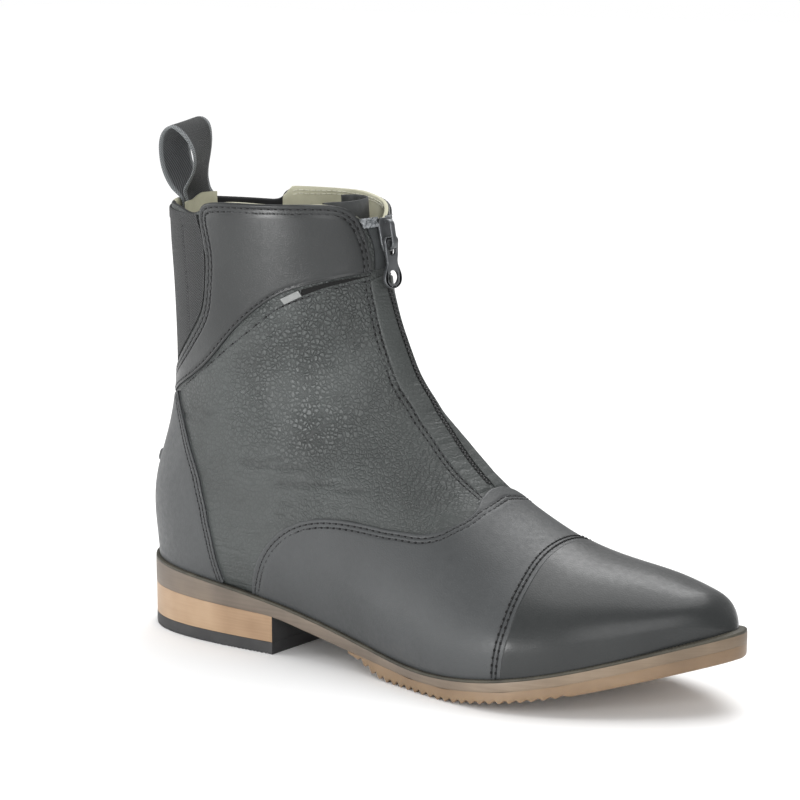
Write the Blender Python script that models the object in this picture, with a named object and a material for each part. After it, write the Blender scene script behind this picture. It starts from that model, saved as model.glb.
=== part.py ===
"""Right front-zip ankle boot: sole stack, hollow leather upper with its overlays, front zip and pull loop.

X runs from heel to toe, +Y is the medial side, Z is up. All tables are in millimetres.
The last is a fan of sections. Each lies in a plane that holds Y and runs from a base point, on the sole edge
and then up the back, to the crown. "along" is 0 at the toe tip and 1 at the collar; "across" is -1 at the
lateral base, 0 on the crown and 1 at the medial base.
"""

import math

import bmesh
import bpy
import numpy as np
from mathutils.geometry import tessellate_polygon

MM = 0.001
GAP = 0.3
WALL = 2.0
UPPER_OUT = -1.05
LAYER_IN = -0.5
CURVED_IN = -0.35
LAYER_OUT = 0.4
CAP_OUT = 0.9
GORE_IN = -0.35
GORE_OUT = 0.1
SEAT = 1.0
WELT_THICK = 1.0
WELT_CLEAR = -0.4
WELT_POINTS = 64
LAYER_LIFT = 0.7
EASE_BAND = 34.0
INSOLE_THICK = 3.0
INSOLE_INSET = 4.2
BREAST_X = 83.5
LIFT_TOP = 5.5
OUTSOLE_START = 126.0
RIB_START = 131.0
RIB_END = 238.0
RIB_PITCH = 3.4
RIB_LAND = 1.9
RIB_DEPTH = 1.8
RIB_FADE = 0.7

OUTLINE = [  # x, y of the sole edge, heel back first, then the lateral side
    (-3.5, 0), (5, -20), (28, -31.5), (74, -33), (112, -32), (148, -37), (180, -44), (207, -45.5),
    (233, -38), (258, -22.5), (278, -6), (290.5, 11), (287.5, 23), (272, 36), (244, 45), (210, 47.5),
    (176, 42), (141, 31), (110, 26.5), (74, 30), (28, 31), (5, 20),
]
SOLE_TOP = [  # x, z of the welt's top
    (-3.5, 32.6), (8, 31.7), (58, 27.3), (84, 23.5), (115, 17.2), (146, 11.8), (164, 10), (185, 10.6),
    (213, 14.2), (236, 19.1), (257, 24.8), (273, 29.5), (290.5, 34.3),
]
BAND_BOTTOM = [  # x, z where the midsole band ends
    (-3.5, 20), (BREAST_X, 17.3), (105, 12.6), (124, 9.2), (147, 6.7), (164, 5.2), (185, 5.5), (213, 8.8),
    (236, 13.7), (257, 19.3), (273, 23.9), (290.5, 28.6),
]
OUTSOLE_BOTTOM = [  # x, z of the tread
    (OUTSOLE_START, 8.0), (131.6, 6.2), (140, 2.2), (147, 0.3), (152, 0), (167, 0), (182, 0), (200, 2),
    (216, 4.5), (236, 8.5), (254, 13.1), (273, 18.3), (290.5, 23),
]
CROWN_Y = [  # crown x, y of the ridge
    (0, 0), (60, 0), (118.5, 0.5), (120.3, 1.6), (123.5, 3.4), (129, 4.4), (138, 4.7), (150, 4.4),
    (166, 4.4), (178, 5), (200, 6.3), (228, 8), (254, 9.5), (271, 11), (286, 13.8),
]
RIDGE = [  # crown x, how much sharper than round the medial side is next to the ridge
    (117.5, 0), (118.5, 0.1), (120.3, 0.25), (123.5, 0.35), (136, 0.36), (143, 0.28), (150, 0.06),
    (157, -0.1), (166, -0.18), (180, -0.15), (198, -0.08), (216, 0),
]
CAP_SEAM = [  # along, across
    (0.2478, -1), (0.2392, -0.87), (0.2325, -0.75), (0.2302, -0.6), (0.2292, -0.45), (0.2305, -0.28),
    (0.2322, -0.08), (0.2335, 0.1), (0.2365, 0.35), (0.2425, 0.6), (0.2495, 0.85), (0.258, 1),
]
VAMP_EDGE = [  # along, across, from the lateral base to the crown
    (0.5417, -1), (0.5517, -0.8975), (0.5608, -0.8), (0.5658, -0.7175), (0.5642, -0.6538), (0.5558, -0.5962),
    (0.5367, -0.5513), (0.505, -0.5175), (0.475, -0.4938), (0.4425, -0.4725), (0.4158, -0.4463),
    (0.3925, -0.4137), (0.3708, -0.37), (0.353, -0.312), (0.3455, -0.255), (0.3462, -0.17), (0.3525, -0.085),
    (0.355, 0),
]
COUNTER_EDGE = [  # along, across, from the base up
    (0.5667, -0.9975), (0.58, -0.9387), (0.595, -0.88), (0.6208, -0.7888), (0.6517, -0.6937),
    (0.6679, -0.636), (0.6758, -0.6212), (0.7, -0.6225), (0.72, -0.6362), (0.74, -0.655), (0.7767, -0.7087),
    (0.8008, -0.7612), (0.8217, -0.815),
]
COUNTER_ROWS = [0.572, 0.584, 0.6, 0.614, 0.627, 0.638, 0.648, 0.656, 0.6625]
COUNTER_ROWS_UP = [0, 0.0022, 0.0045, 0.0075, 0.02, 0.04, 0.065, 0.092, 0.12, 0.147]
COUNTER_COLUMNS = 6
PANEL_TOP = [  # along, across, from the zip round the collar and down the gore
    (0.935, -0.066), (0.972, -0.088), (0.992, -0.125), (0.999, -0.2), (0.999, -0.34), (0.999, -0.52),
    (0.992, -0.59), (0.954, -0.587), (0.910, -0.606), (0.890, -0.627), (0.872, -0.688), (0.855, -0.806),
    (0.848, -0.996),
]
PANEL_TOP_MEDIAL = [  # the same on the medial side
    (0.935, 0.066), (0.962, 0.098), (0.979, 0.15), (0.9915, 0.25), (0.9975, 0.37), (0.999, 0.5),
    (0.999, 0.62), (0.993, 0.672), (0.954, 0.668), (0.910, 0.675), (0.890, 0.688), (0.872, 0.722),
    (0.855, 0.812), (0.848, 0.996),
]
PANEL_BOTTOM = [  # along, across, from the zip to the back
    (0.858, -0.056), (0.866, -0.15), (0.873, -0.269), (0.873, -0.337), (0.865, -0.425), (0.848, -0.531),
    (0.833, -0.613), (0.827, -0.781), (0.825, -0.996),
]
GORE_EDGE = [  # along, across, from the collar down
    (0.985, -0.612), (0.954, -0.594), (0.910, -0.613), (0.892, -0.635), (0.875, -0.696), (0.859, -0.812),
    (0.853, -0.99),
]
GORE_EDGE_MEDIAL = [  # the same on the medial side
    (0.9895, 0.697), (0.954, 0.675), (0.910, 0.682), (0.892, 0.696), (0.875, 0.73), (0.859, 0.818),
    (0.853, 0.99),
]
GORE_TOP = 0.9926
FACING_WIDTH = [  # along, distance of the facing's edge from the crown
    (0.3585, 9.2), (0.4, 10.4), (0.5, 10.7), (0.66, 10.8), (0.72, 10.9), (0.77, 10.5), (0.846, 9.3),
]
TAPE_EDGE = [(0.862, -0.046), (0.91, -0.043), (0.935, -0.05), (0.962, -0.062)]  # along, across
TAG_CORNERS = [(0.872, -0.332), (0.868, -0.266), (0.853, -0.269), (0.857, -0.326)]  # along, across
COLLAR_EDGE = [  # across, along of the upper's own top edge
    (-1, 0.9926), (-0.8, 0.9916), (-0.7, 0.988), (-0.63, 0.985), (-0.585, 0.99), (-0.52, 0.996),
    (-0.25, 0.996), (-0.15, 0.993), (-0.1, 0.978), (-0.045, 0.957), (0, 0.955), (0.045, 0.957), (0.1, 0.968),
    (0.15, 0.979), (0.25, 0.9905), (0.37, 0.9955), (0.5, 0.997), (0.6, 0.997), (0.66, 0.993), (0.7, 0.9905),
    (0.8, 0.9916), (1, 0.9926),
]
UPPER_ROWS = [  # along
    0, 0.012, 0.024, 0.037, 0.055, 0.085, 0.12, 0.16, 0.2, 0.24, 0.28, 0.315, 0.35, 0.385, 0.42, 0.448,
    0.476, 0.504, 0.532, 0.56, 0.587, 0.608, 0.625, 0.638, 0.649, 0.658, 0.665,
]
UPPER_ROWS_UP = [0.685, 0.705, 0.73, 0.755, 0.78, 0.805, 0.83, 0.855, 0.885, 0.915, 0.945, 0.972]
UPPER_COLUMNS = 29
LOOP_EDGES = [  # x, z of the webbing's lateral edge and of its medial edge, front leg first
    (16.4, 178, 16.4, 178), (16.4, 187, 16.4, 187), (16.2, 191.5, 16, 191.5), (17, 196, 14.4, 196.5),
    (19.7, 200, 13.3, 201), (22.1, 203.6, 13.6, 205.5), (23.5, 210, 15, 211.7), (21.4, 215.8, 15.9, 219.2),
    (15.7, 221.3, 13.9, 225.4), (8.9, 223.6, 9, 227), (5, 221, 4.3, 224), (3.1, 212.6, 2.6, 215),
    (6, 202, 5.6, 203.5), (9.8, 197, 9.6, 197.3), (13.6, 192.6, 13.6, 192.6), (14.3, 188, 14.3, 188),
    (14.5, 178, 14.5, 178),
]
LOOP_WIDTH = 21.0
LOOP_THICK = 1.3
GUARD_PATH = [  # x, y of the zip guard's middle line in plan
    (103.3, -19.2), (103.9, -15), (106.5, -10), (107.1, -4), (106.1, 3), (104.1, 8.5), (101.3, 12.5),
    (98.1, 15.2), (94.9, 16.4), (91.8, 16.3), (89.5, 14.6), (88.1, 11.5),
]
GUARD_BOTTOM = 164.0
GUARD_TOP = 197.0
GUARD_THICK = 1.2
SPUR_ALONG = 0.7635
SPUR_HALF_HEIGHT = 0.0065
SPUR_REACH = 0.075
SPUR_OUT = 3.4
HINGE_ALONG = 0.917
HINGE_OUT = 3.6
ZIP_YAW = math.radians(-9)
TAB_TILT = math.radians(5)
TAB_HALF = [  # distance below the hinge, half width
    (-0.8, 2.9), (0, 3.6), (3, 3.6), (7.5, 3.2), (10.5, 2.95), (13, 3.9), (16.2, 4.9), (18.8, 4.5),
    (20.5, 2.9), (21.2, 1.0),
]
TAB_THICK = 1.6
TAB_HOLE = (16.4, 3.0)
EYE_LENGTH = (0.8, 6.9)
EYE_HALF = 2.2
SLIDER_TABLE = [  # distance below the hinge, half width
    (-9.2, 2.6), (-8.2, 3.5), (-3, 3.9), (2.6, 3.4), (5.2, 2.6),
]
SLIDER_LEVELS = (-2.85, -1.6)
BRIDGE_HALF = 1.3
BRIDGE_SIDE = [  # distance below the hinge, height over it, round the arch
    (-8.4, -1.7), (-8.2, 0.9), (-6.8, 2.4), (2.2, 2.9), (4.1, 2.0), (4.8, 0.2), (4.8, -1.7), (3.3, -1.7),
    (3.3, 0.2), (2.5, 1.35), (-6.0, 1.1), (-6.9, -0.2), (-7.0, -1.7),
]


def smooth(k):
    """Cubic step from 0 to 1."""
    k = np.clip(k, 0, 1)
    return k * k * (3 - 2 * k)


def spline(knots, values, at, flat_start=False):
    """Natural cubic spline; flat_start gives it a level first end."""
    k = np.asarray(knots, float)
    v = np.asarray(values, float)
    n = len(k)
    h = np.diff(k)
    a = np.eye(n)
    r = np.zeros(n)
    if flat_start:
        a[0, :2] = 2 * h[0], h[0]
        r[0] = 6 * (v[1] - v[0]) / h[0]
    for i in range(1, n - 1):
        a[i, i - 1 : i + 2] = h[i - 1], 2 * (h[i - 1] + h[i]), h[i]
        r[i] = 6 * ((v[i + 1] - v[i]) / h[i] - (v[i] - v[i - 1]) / h[i - 1])
    m = np.linalg.solve(a, r)
    at = np.clip(np.asarray(at, float), k[0], k[-1])
    i = np.clip(np.searchsorted(k, at) - 1, 0, n - 2)
    p = (k[i + 1] - at) / h[i]
    q = 1 - p
    return p * v[i] + q * v[i + 1] + ((p**3 - p) * m[i] + (q**3 - q) * m[i + 1]) * h[i] ** 2 / 6


def table(rows, at):
    """The second column of a table as a smooth function of the first."""
    k, v = np.array(rows, float).T
    return spline(k, v, at)


def closed_curve(points, count):
    """Smooth closed curve through the points, in plan."""
    p = np.array(points, float)
    q = np.vstack([p[-4:], p, p[:5]])
    d = np.concatenate([[0], np.cumsum(np.sqrt(np.linalg.norm(np.diff(q, axis=0), axis=1)))])
    t = np.linspace(d[4], d[4 + len(p)], count, endpoint=False)
    return np.stack([spline(d, q[:, 0], t), spline(d, q[:, 1], t)], 1)


def inset(curve, margin):
    """The curve moved inwards by a margin, one value or one per point."""
    along = np.roll(curve, -1, 0) - np.roll(curve, 1, 0)
    inward = np.stack([-along[:, 1], along[:, 0]], 1)
    inward /= np.linalg.norm(inward, axis=1)[:, None]
    return curve + inward * np.broadcast_to(margin, len(curve))[:, None]


def side_edges(curve, x):
    """The lateral and the medial y of a closed curve at x."""
    c = np.roll(curve, -np.argmin(curve[:, 0]), 0)
    tip = np.argmax(c[:, 0])
    medial = np.vstack([c[tip:], c[:1]])[::-1]
    return np.interp(x, c[: tip + 1, 0], c[: tip + 1, 1]), np.interp(x, medial[:, 0], medial[:, 1])


EDGE = closed_curve(OUTLINE, 3600)
FEATHER = inset(EDGE, 2.2 + 2.0 * smooth((EDGE[:, 0] - 250) / 40))
TIP_X = FEATHER[:, 0].max()
HEEL_X = FEATHER[:, 0].min()

FOOT = [  # base_x, crown_x, crown_z, lateral, medial, belly, lean; a width of 0 follows the sole edge
    (TIP_X, TIP_X, 0, 0, 0, 2, 0),
    (TIP_X - 0.6, TIP_X - 1.5, 37.3, 0, 0, 2.5, 0),
    (TIP_X - 2.4, TIP_X - 4.2, 41.2, 0, 0, 4, 0),
    (TIP_X - 6.5, TIP_X - 8.3, 45.3, 0, 0, 6, 0),
    (TIP_X - 16, TIP_X - 17.5, 48.6, 0, 0, 8, 0),
    (255, 252, 52.8, 0, 0, 9, 0.02),
    (228, 224, 57.6, 0, 0, 11, 0.05),
    (203, 198.5, 66.4, -46, 46, 12, 0.08),
    (179, 177.5, 78.3, -45, 44, 14, 0.09),
    (150, 165.8, 88, -41, 39, 20, 0.08),
    (110, 157.6, 96.5, -37, 36, 28, 0.06),
    (75, 151.6, 103.6, -35.5, 35, 34, 0.05),
    (45, 146.5, 109.7, -34.5, 34, 38, 0.04),
    (20, 142.9, 115, -34, 34, 42, 0.03),
    (6, 139.6, 119, -34, 34, 46, 0.02),
    (HEEL_X, 136.7, 123, -34, 34, 50, 0.02),
]
SHAFT = [  # base_x, base_z, crown_x, crown_z, lateral, medial, belly
    (-3.4, 46, 132.3, 131.5, -34, 34, 54),
    (-2.6, 62, 128.4, 140.5, -33.5, 33.5, 55),
    (4.4, 85, 124.6, 151.5, -33, 33, 56),
    (10.0, 110, 121.6, 163.5, -33.5, 33.5, 55),
    (11, 135, 120.5, 175, -35, 35, 53),
    (10.5, 160, 119, 184.5, -36.5, 36.5, 52),
    (9.5, 181, 118, 192, -37.5, 37.5, 52),
    (9.5, 196, 117.5, 197, -38, 38, 52),
]


def seat(x):
    """Height of the upper's base."""
    return table(SOLE_TOP, x) - SEAT


def section(edge, wide, crown, belly, height, lean, ridge, up):
    """Heights, y and run of one side: the wall's y at each height up, then over to the crown."""
    b = np.linspace(0, np.pi / 2, 60)[1:]
    over = belly + (height - belly) * np.sin(b)
    back = crown + (wide - crown) * np.cos(b) ** (1 + ridge) * (1 - lean * np.sin(2 * b) ** 2)
    h = np.concatenate([up, over])
    y = np.concatenate([edge, back])
    run = np.concatenate([[0], np.cumsum(np.hypot(np.diff(h), np.diff(y)))])
    return h, y, run / max(run[-1], 1e-9)


def last_grid(foot_rows, shaft_rows, columns):
    """Points of the last, one row per section, and each row's along value."""
    foot = np.array(FOOT, float)
    shaft = np.array(SHAFT, float)
    n = len(foot)
    base_x = np.concatenate([foot[:, 0], shaft[:, 0]])
    base_z = np.concatenate([seat(foot[:, 0]), shaft[:, 1]])
    crown_x = np.concatenate([foot[:, 1], shaft[:, 2]])
    crown_z = np.concatenate([foot[:, 2], shaft[:, 3]])
    crown_z[0] = base_z[0]
    lateral = np.concatenate([foot[:, 3], shaft[:, 4]])
    medial = np.concatenate([foot[:, 4], shaft[:, 5]])
    belly = np.concatenate([foot[:, 5], shaft[:, 6]])
    lean = np.concatenate([foot[:, 6], np.zeros(len(shaft))])
    steps = 0.6 * np.hypot(np.diff(crown_x), np.diff(crown_z))
    steps += 0.4 * np.hypot(np.diff(base_x), np.diff(base_z))
    k = np.concatenate([[0], np.cumsum(steps)])
    heel = k[n - 1]
    s = np.concatenate([np.linspace(0, heel, foot_rows), np.linspace(heel, k[-1], shaft_rows + 1)[1:]])
    on_foot = s <= heel
    x = np.where(on_foot, spline(k[:n], base_x[:n], s, True), spline(k[n - 1 :], base_x[n - 1 :], s))
    x = np.where(on_foot, np.clip(x, HEEL_X, TIP_X), x)
    z = np.where(on_foot, seat(x), spline(k[n - 1 :], base_z[n - 1 :], s))
    top_x = spline(k, crown_x, s, True)
    top_z = spline(k, crown_z, s)
    top_z[0] = z[0]
    edge = np.where(on_foot, side_edges(FEATHER, x), 0)
    first = int(np.argmax(lateral != 0))
    blend = smooth((s - k[first - 1]) / (k[first + 1] - k[first - 1]))
    swell = 1.3 * np.clip(s / 12, 0, 1)
    wide = np.stack([spline(k[first:], lateral[first:], s), spline(k[first:], medial[first:], s)])
    wide[0] = (edge[0] - swell) * (1 - blend) + np.minimum(wide[0], edge[0] - 0.3) * blend
    wide[1] = (edge[1] + swell) * (1 - blend) + np.maximum(wide[1], edge[1] + 0.3) * blend
    crown_y = np.interp(top_x, *np.array(CROWN_Y, float).T)
    crown_y[0] = edge[0, 0]
    edge[1, 0] = edge[0, 0]
    wide[:, 0] = edge[0, 0]
    height = np.hypot(top_x - x, top_z - z)
    belly = np.minimum(spline(k, belly, s), 0.5 * height)
    bulge = smooth((s - k[n - 6]) / (heel - k[n - 6]))
    lean = spline(k, lean, s)
    ridge = np.stack([0 * s, np.interp(top_x, *np.array(RIDGE, float).T)])
    q = np.linspace(0, 1, 60)
    u = np.linspace(0, 1, columns // 2 + 1)
    grid = np.zeros((len(s), columns, 3))
    extra = [0, 0]
    for i in range(len(s)):
        part = (1 - bulge[i]) * q + bulge[i] * (1 - np.cos(np.pi * q / 2))
        ahead = np.clip(x[i] + (top_x[i] - x[i]) * part * belly[i] / max(height[i], 1e-9), HEEL_X, TIP_X)
        walls = side_edges(FEATHER, ahead)
        sides = []
        for side in (0, 1):
            wall = edge[side, i] + (wide[side, i] - edge[side, i]) * np.sin(np.pi * q / 2)
            if on_foot[i] and i > 0:
                swing = walls[side] + (wide[side, i] - walls[side][-1]) * (1 - (1 - part) ** 2)
                extra[side] = swing - wall
            wall = wall + extra[side] * (1 - smooth((s[i] - heel) / 40))
            up = part * belly[i]
            shape = belly[i], height[i], lean[i], ridge[side, i]
            h, y, run = section(wall, wide[side, i], crown_y[i], *shape, up)
            sides.append((np.interp(u, run, h), np.interp(u, run, y)))
        h = np.concatenate([sides[0][0], sides[1][0][-2::-1]]) / max(height[i], 1e-9)
        grid[i, :, 0] = x[i] + (top_x[i] - x[i]) * h
        grid[i, :, 1] = np.concatenate([sides[0][1], sides[1][1][-2::-1]])
        grid[i, :, 2] = z[i] + (top_z[i] - z[i]) * h
    return grid, s / k[-1], heel / k[-1]


def ease_heel_line(grid, row):
    """Takes the fold out of the sides along the section through the heel.

    The squared half width has a jump of slope across that section; a bell of width EASE_BAND cancels it.
    """
    middle = grid.shape[1] // 2
    start = grid[row, 0, ::2]
    run = grid[row, middle, ::2] - start
    length = np.hypot(*run)
    run = run / length
    rel = grid[..., ::2] - start
    h = rel @ run
    n = rel @ np.array([-run[1], run[0]])
    half = (grid[..., 1] - grid[:, middle : middle + 1, 1]) ** 2
    bell = np.clip(EASE_BAND - np.abs(n), 0, None) ** 2 / (4 * EASE_BAND)
    bell = bell * smooth(12 * (1 - np.abs(np.linspace(-1, 1, grid.shape[1]))))
    station = np.linspace(0.03, 0.94, 70) * length
    for side in (slice(0, middle + 1), slice(None, middle - 1, -1)):
        at = {k: np.interp(station, h[row + k, side], half[row + k, side]) for k in (-3, 0, 3)}
        off = {k: np.interp(station, h[row + k, side], n[row + k, side]) for k in (-3, 3)}
        jump = ((at[3] - at[0]) / off[3] - (at[0] - at[-3]) / -off[-3]) / at[0]
        jump = jump * smooth(station / (0.1 * length))
        jump = np.convolve(np.pad(jump, 2, "edge"), np.full(5, 1 / 5), "valid")
        grow = np.exp(np.interp(h[:, side], station, jump) * bell[:, side])
        centre = grid[:, middle : middle + 1, 1]
        grid[:, side, 1] = centre + (grid[:, side, 1] - centre) * np.sqrt(grow)


LAST, ALONG, HEEL_ALONG = last_grid(161, 80, 161)
ease_heel_line(LAST, 160)


def last_normals():
    """Outward unit normals of the last's grid."""
    n = np.cross(np.gradient(LAST, axis=1), np.gradient(LAST, axis=0))
    n /= np.linalg.norm(n, axis=2)[..., None] + 1e-12
    up = ALONG >= HEEL_ALONG
    for column, turn in ((0, 1), (-1, -1)):
        run = np.gradient(LAST[~up, column], axis=0)
        n[~up, column] = np.stack([-run[:, 1] * turn, run[:, 0] * turn, 0 * run[:, 0]], 1)
    n[0] = (1, 0, 0)
    seam = n[up, 0] + n[up, -1]
    n[up, 0] = seam
    n[up, -1] = seam
    return n / (np.linalg.norm(n, axis=2)[..., None] + 1e-12)


NORMAL = last_normals()
HALF_ARC = np.linalg.norm(np.diff(LAST, axis=1), axis=2).sum(1) / 2


def base_limits():
    """For each row the across values, lateral and medial, where the last clears the welt's top."""
    clear = LAST[..., 2] - table(SOLE_TOP, LAST[..., 0].ravel()).reshape(LAST.shape[:2]) - LAYER_LIFT
    across = np.linspace(-1, 1, LAST.shape[1])
    low = np.array([across[np.argmax(row >= 0)] if (row >= 0).any() else 0 for row in clear])
    high = np.array([across[::-1][np.argmax(row[::-1] >= 0)] if (row >= 0).any() else 0 for row in clear])
    return low, high


LOW, HIGH = base_limits()
CAP_START = ALONG[np.argmax(HIGH - LOW > 0.6)]


def on_last(along, across, out):
    """Points of the last at (along, across), moved out along its normal: bilinear in the grid."""
    along = np.asarray(along, float)
    across = np.asarray(across, float)
    i = np.clip(np.interp(along, ALONG, np.arange(len(ALONG))), 0, len(ALONG) - 1.000001)
    j = np.clip((across + 1) / 2 * (LAST.shape[1] - 1), 0, LAST.shape[1] - 1.000001)
    a = (i % 1)[..., None]
    b = (j % 1)[..., None]
    i = i.astype(int)
    j = j.astype(int)

    def mix(g):
        first = g[i, j] * (1 - b) + g[i, j + 1] * b
        return first * (1 - a) + (g[i + 1, j] * (1 - b) + g[i + 1, j + 1] * b) * a

    n = mix(NORMAL)
    n /= np.linalg.norm(n, axis=-1)[..., None]
    return mix(LAST) + n * np.asarray(out, float)[..., None]


def along_path(rows, count):
    """Points at equal steps along a smooth curve through a table's rows."""
    p = np.array(rows, float)
    scale = np.array([400.0, 150.0]) if np.abs(p).max() <= 1 else np.ones(2)
    d = np.concatenate([[0], np.cumsum(np.linalg.norm(np.diff(p * scale, axis=0), axis=1))])
    t = np.linspace(0, d[-1], count)
    return np.stack([spline(d, p[:, 0], t), spline(d, p[:, 1], t)], 1)


def ruled(first, second, rows, ease=1.0):
    """Grid of (along, across) between two curves, held above the welt; ease draws its rows to the second."""
    w = 1 - (1 - np.linspace(0, 1, rows)[:, None, None]) ** ease
    g = first * (1 - w) + second * w
    low = np.interp(g[..., 0], ALONG, LOW)
    high = np.interp(g[..., 0], ALONG, HIGH)
    g[..., 1] = np.clip(g[..., 1], low, high)
    return g


def mirrored(g):
    """The same curve or grid on the other side."""
    return g * (1, -1)


def material(name, colour, rough, metal=0.0):
    m = bpy.data.materials.new(name)
    m.use_nodes = True
    shader = m.node_tree.nodes["Principled BSDF"]
    shader.inputs["Base Color"].default_value = (*colour, 1)
    shader.inputs["Roughness"].default_value = rough
    shader.inputs["Metallic"].default_value = metal
    return m


def add(name, points, faces, look):
    """A closed mesh object from points in millimetres, doubles merged and normals turned outwards."""
    mesh = bpy.data.meshes.new(name)
    corners = [tuple(int(v) for v in f) for f in faces]
    mesh.from_pydata([tuple(p) for p in np.asarray(points, float) * MM], [], corners)
    b = bmesh.new()
    b.from_mesh(mesh)
    bmesh.ops.remove_doubles(b, verts=b.verts, dist=0.02 * MM)
    bmesh.ops.dissolve_degenerate(b, edges=b.edges, dist=0.01 * MM)
    bmesh.ops.recalc_face_normals(b, faces=b.faces)
    b.to_mesh(mesh)
    b.free()
    mesh.materials.append(material(name, *look))
    obj = bpy.data.objects.new(name, mesh)
    bpy.context.collection.objects.link(obj)
    return obj


def sheet_faces(rows, columns, start=0):
    """Quads of a grid whose first point has index start."""
    i, j = np.meshgrid(np.arange(rows - 1), np.arange(columns - 1), indexing="ij")
    a = (start + i * columns + j).ravel()
    return np.stack([a, a + 1, a + columns + 1, a + columns], 1)


def border(rows, columns):
    """Indices round the edge of a grid, in order."""
    g = np.arange(rows * columns).reshape(rows, columns)
    return np.concatenate([g[0, :-1], g[:-1, -1], g[-1, :0:-1], g[:0:-1, 0]])


def slab(name, outer, inner, look):
    """A solid between two grids of the same shape, with walls round the edge."""
    rows, columns = outer.shape[:2]
    count = rows * columns
    edge = border(rows, columns)
    after = np.roll(edge, -1)
    walls = np.stack([edge, after, after + count, edge + count], 1)
    faces = np.vstack([sheet_faces(rows, columns), sheet_faces(rows, columns, count)[:, ::-1], walls])
    return add(name, np.vstack([outer.reshape(-1, 3), inner.reshape(-1, 3)]), faces, look)


def layer(name, grid, look, out=LAYER_OUT, inside=LAYER_IN):
    """A leather layer that follows the last over a grid of (along, across)."""
    s, t = grid[..., 0], grid[..., 1]
    outer = on_last(s, t, np.broadcast_to(out, s.shape))
    return slab(name, outer, on_last(s, t, np.broadcast_to(inside, s.shape)), look)


def round_the_back(edge, other, seam, rows):
    """Grid from a lateral edge to the back seam and on to the medial edge."""
    far = ruled(other, mirrored(seam), rows, 1.15)
    return np.concatenate([ruled(edge, seam, rows, 1.15), far[-2::-1]])


def rounded_stations(start, end, count, round_start, round_end):
    """Values of x, closer together at a rounded end."""
    k = np.linspace(0, 1, count)
    if round_start and round_end:
        k = (1 - np.cos(np.pi * k)) / 2
    elif round_start:
        k = 1 - np.cos(np.pi * k / 2)
    elif round_end:
        k = np.sin(np.pi * k / 2)
    return start + (end - start) * k


def plate(name, x, curve, top, bottom, look):
    """A solid of stations along x: level across, bounded by a closed curve, between two heights each."""
    lateral, medial = side_edges(curve, x)
    ring = np.stack([
        np.stack([x, lateral, top], 1), np.stack([x, medial, top], 1),
        np.stack([x, medial, bottom], 1), np.stack([x, lateral, bottom], 1),
    ], 1)
    n = len(x)
    faces = []
    for i in range(n - 1):
        for j in range(4):
            faces.append((4 * i + j, 4 * i + (j + 1) % 4, 4 * i + 4 + (j + 1) % 4, 4 * i + 4 + j))
    faces.append((0, 1, 2, 3))
    faces.append((4 * n - 4, 4 * n - 3, 4 * n - 2, 4 * n - 1))
    return add(name, ring.reshape(-1, 3), faces, look)


def prism(name, outline, holes, low, high, frame, look):
    """A flat piece: an outline with holes, from low to high in a frame of (origin, down, side, out)."""
    loops = [np.array(p, float) for p in [outline, *holes]]
    flat = np.vstack(loops)
    count = len(flat)
    origin, down, side, out = frame
    face = origin + flat[:, :1] * down + flat[:, 1:] * side
    points = np.vstack([face + low * out, face + high * out])
    caps = tessellate_polygon([[(a, b, 0) for a, b in loop] for loop in loops])
    faces = [tuple(f) for f in caps] + [tuple(v + count for v in f[::-1]) for f in caps]
    start = 0
    for loop in loops:
        n = len(loop)
        a = start + np.arange(n)
        b = start + (np.arange(n) + 1) % n
        faces += np.stack([a, b, b + count, a + count], 1).tolist()
        start += n
    return add(name, points, faces, look)


def both_sides(half_widths, count):
    """Closed outline from a table of (distance, half width)."""
    k, v = np.array(half_widths, float).T
    d = np.concatenate([[0], np.cumsum(np.hypot(np.diff(k), np.diff(v)))])
    t = np.linspace(0, d[-1], count)
    right = np.stack([spline(d, k, t), spline(d, v, t)], 1)
    return np.vstack([right, right[::-1] * (1, -1)])


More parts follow.
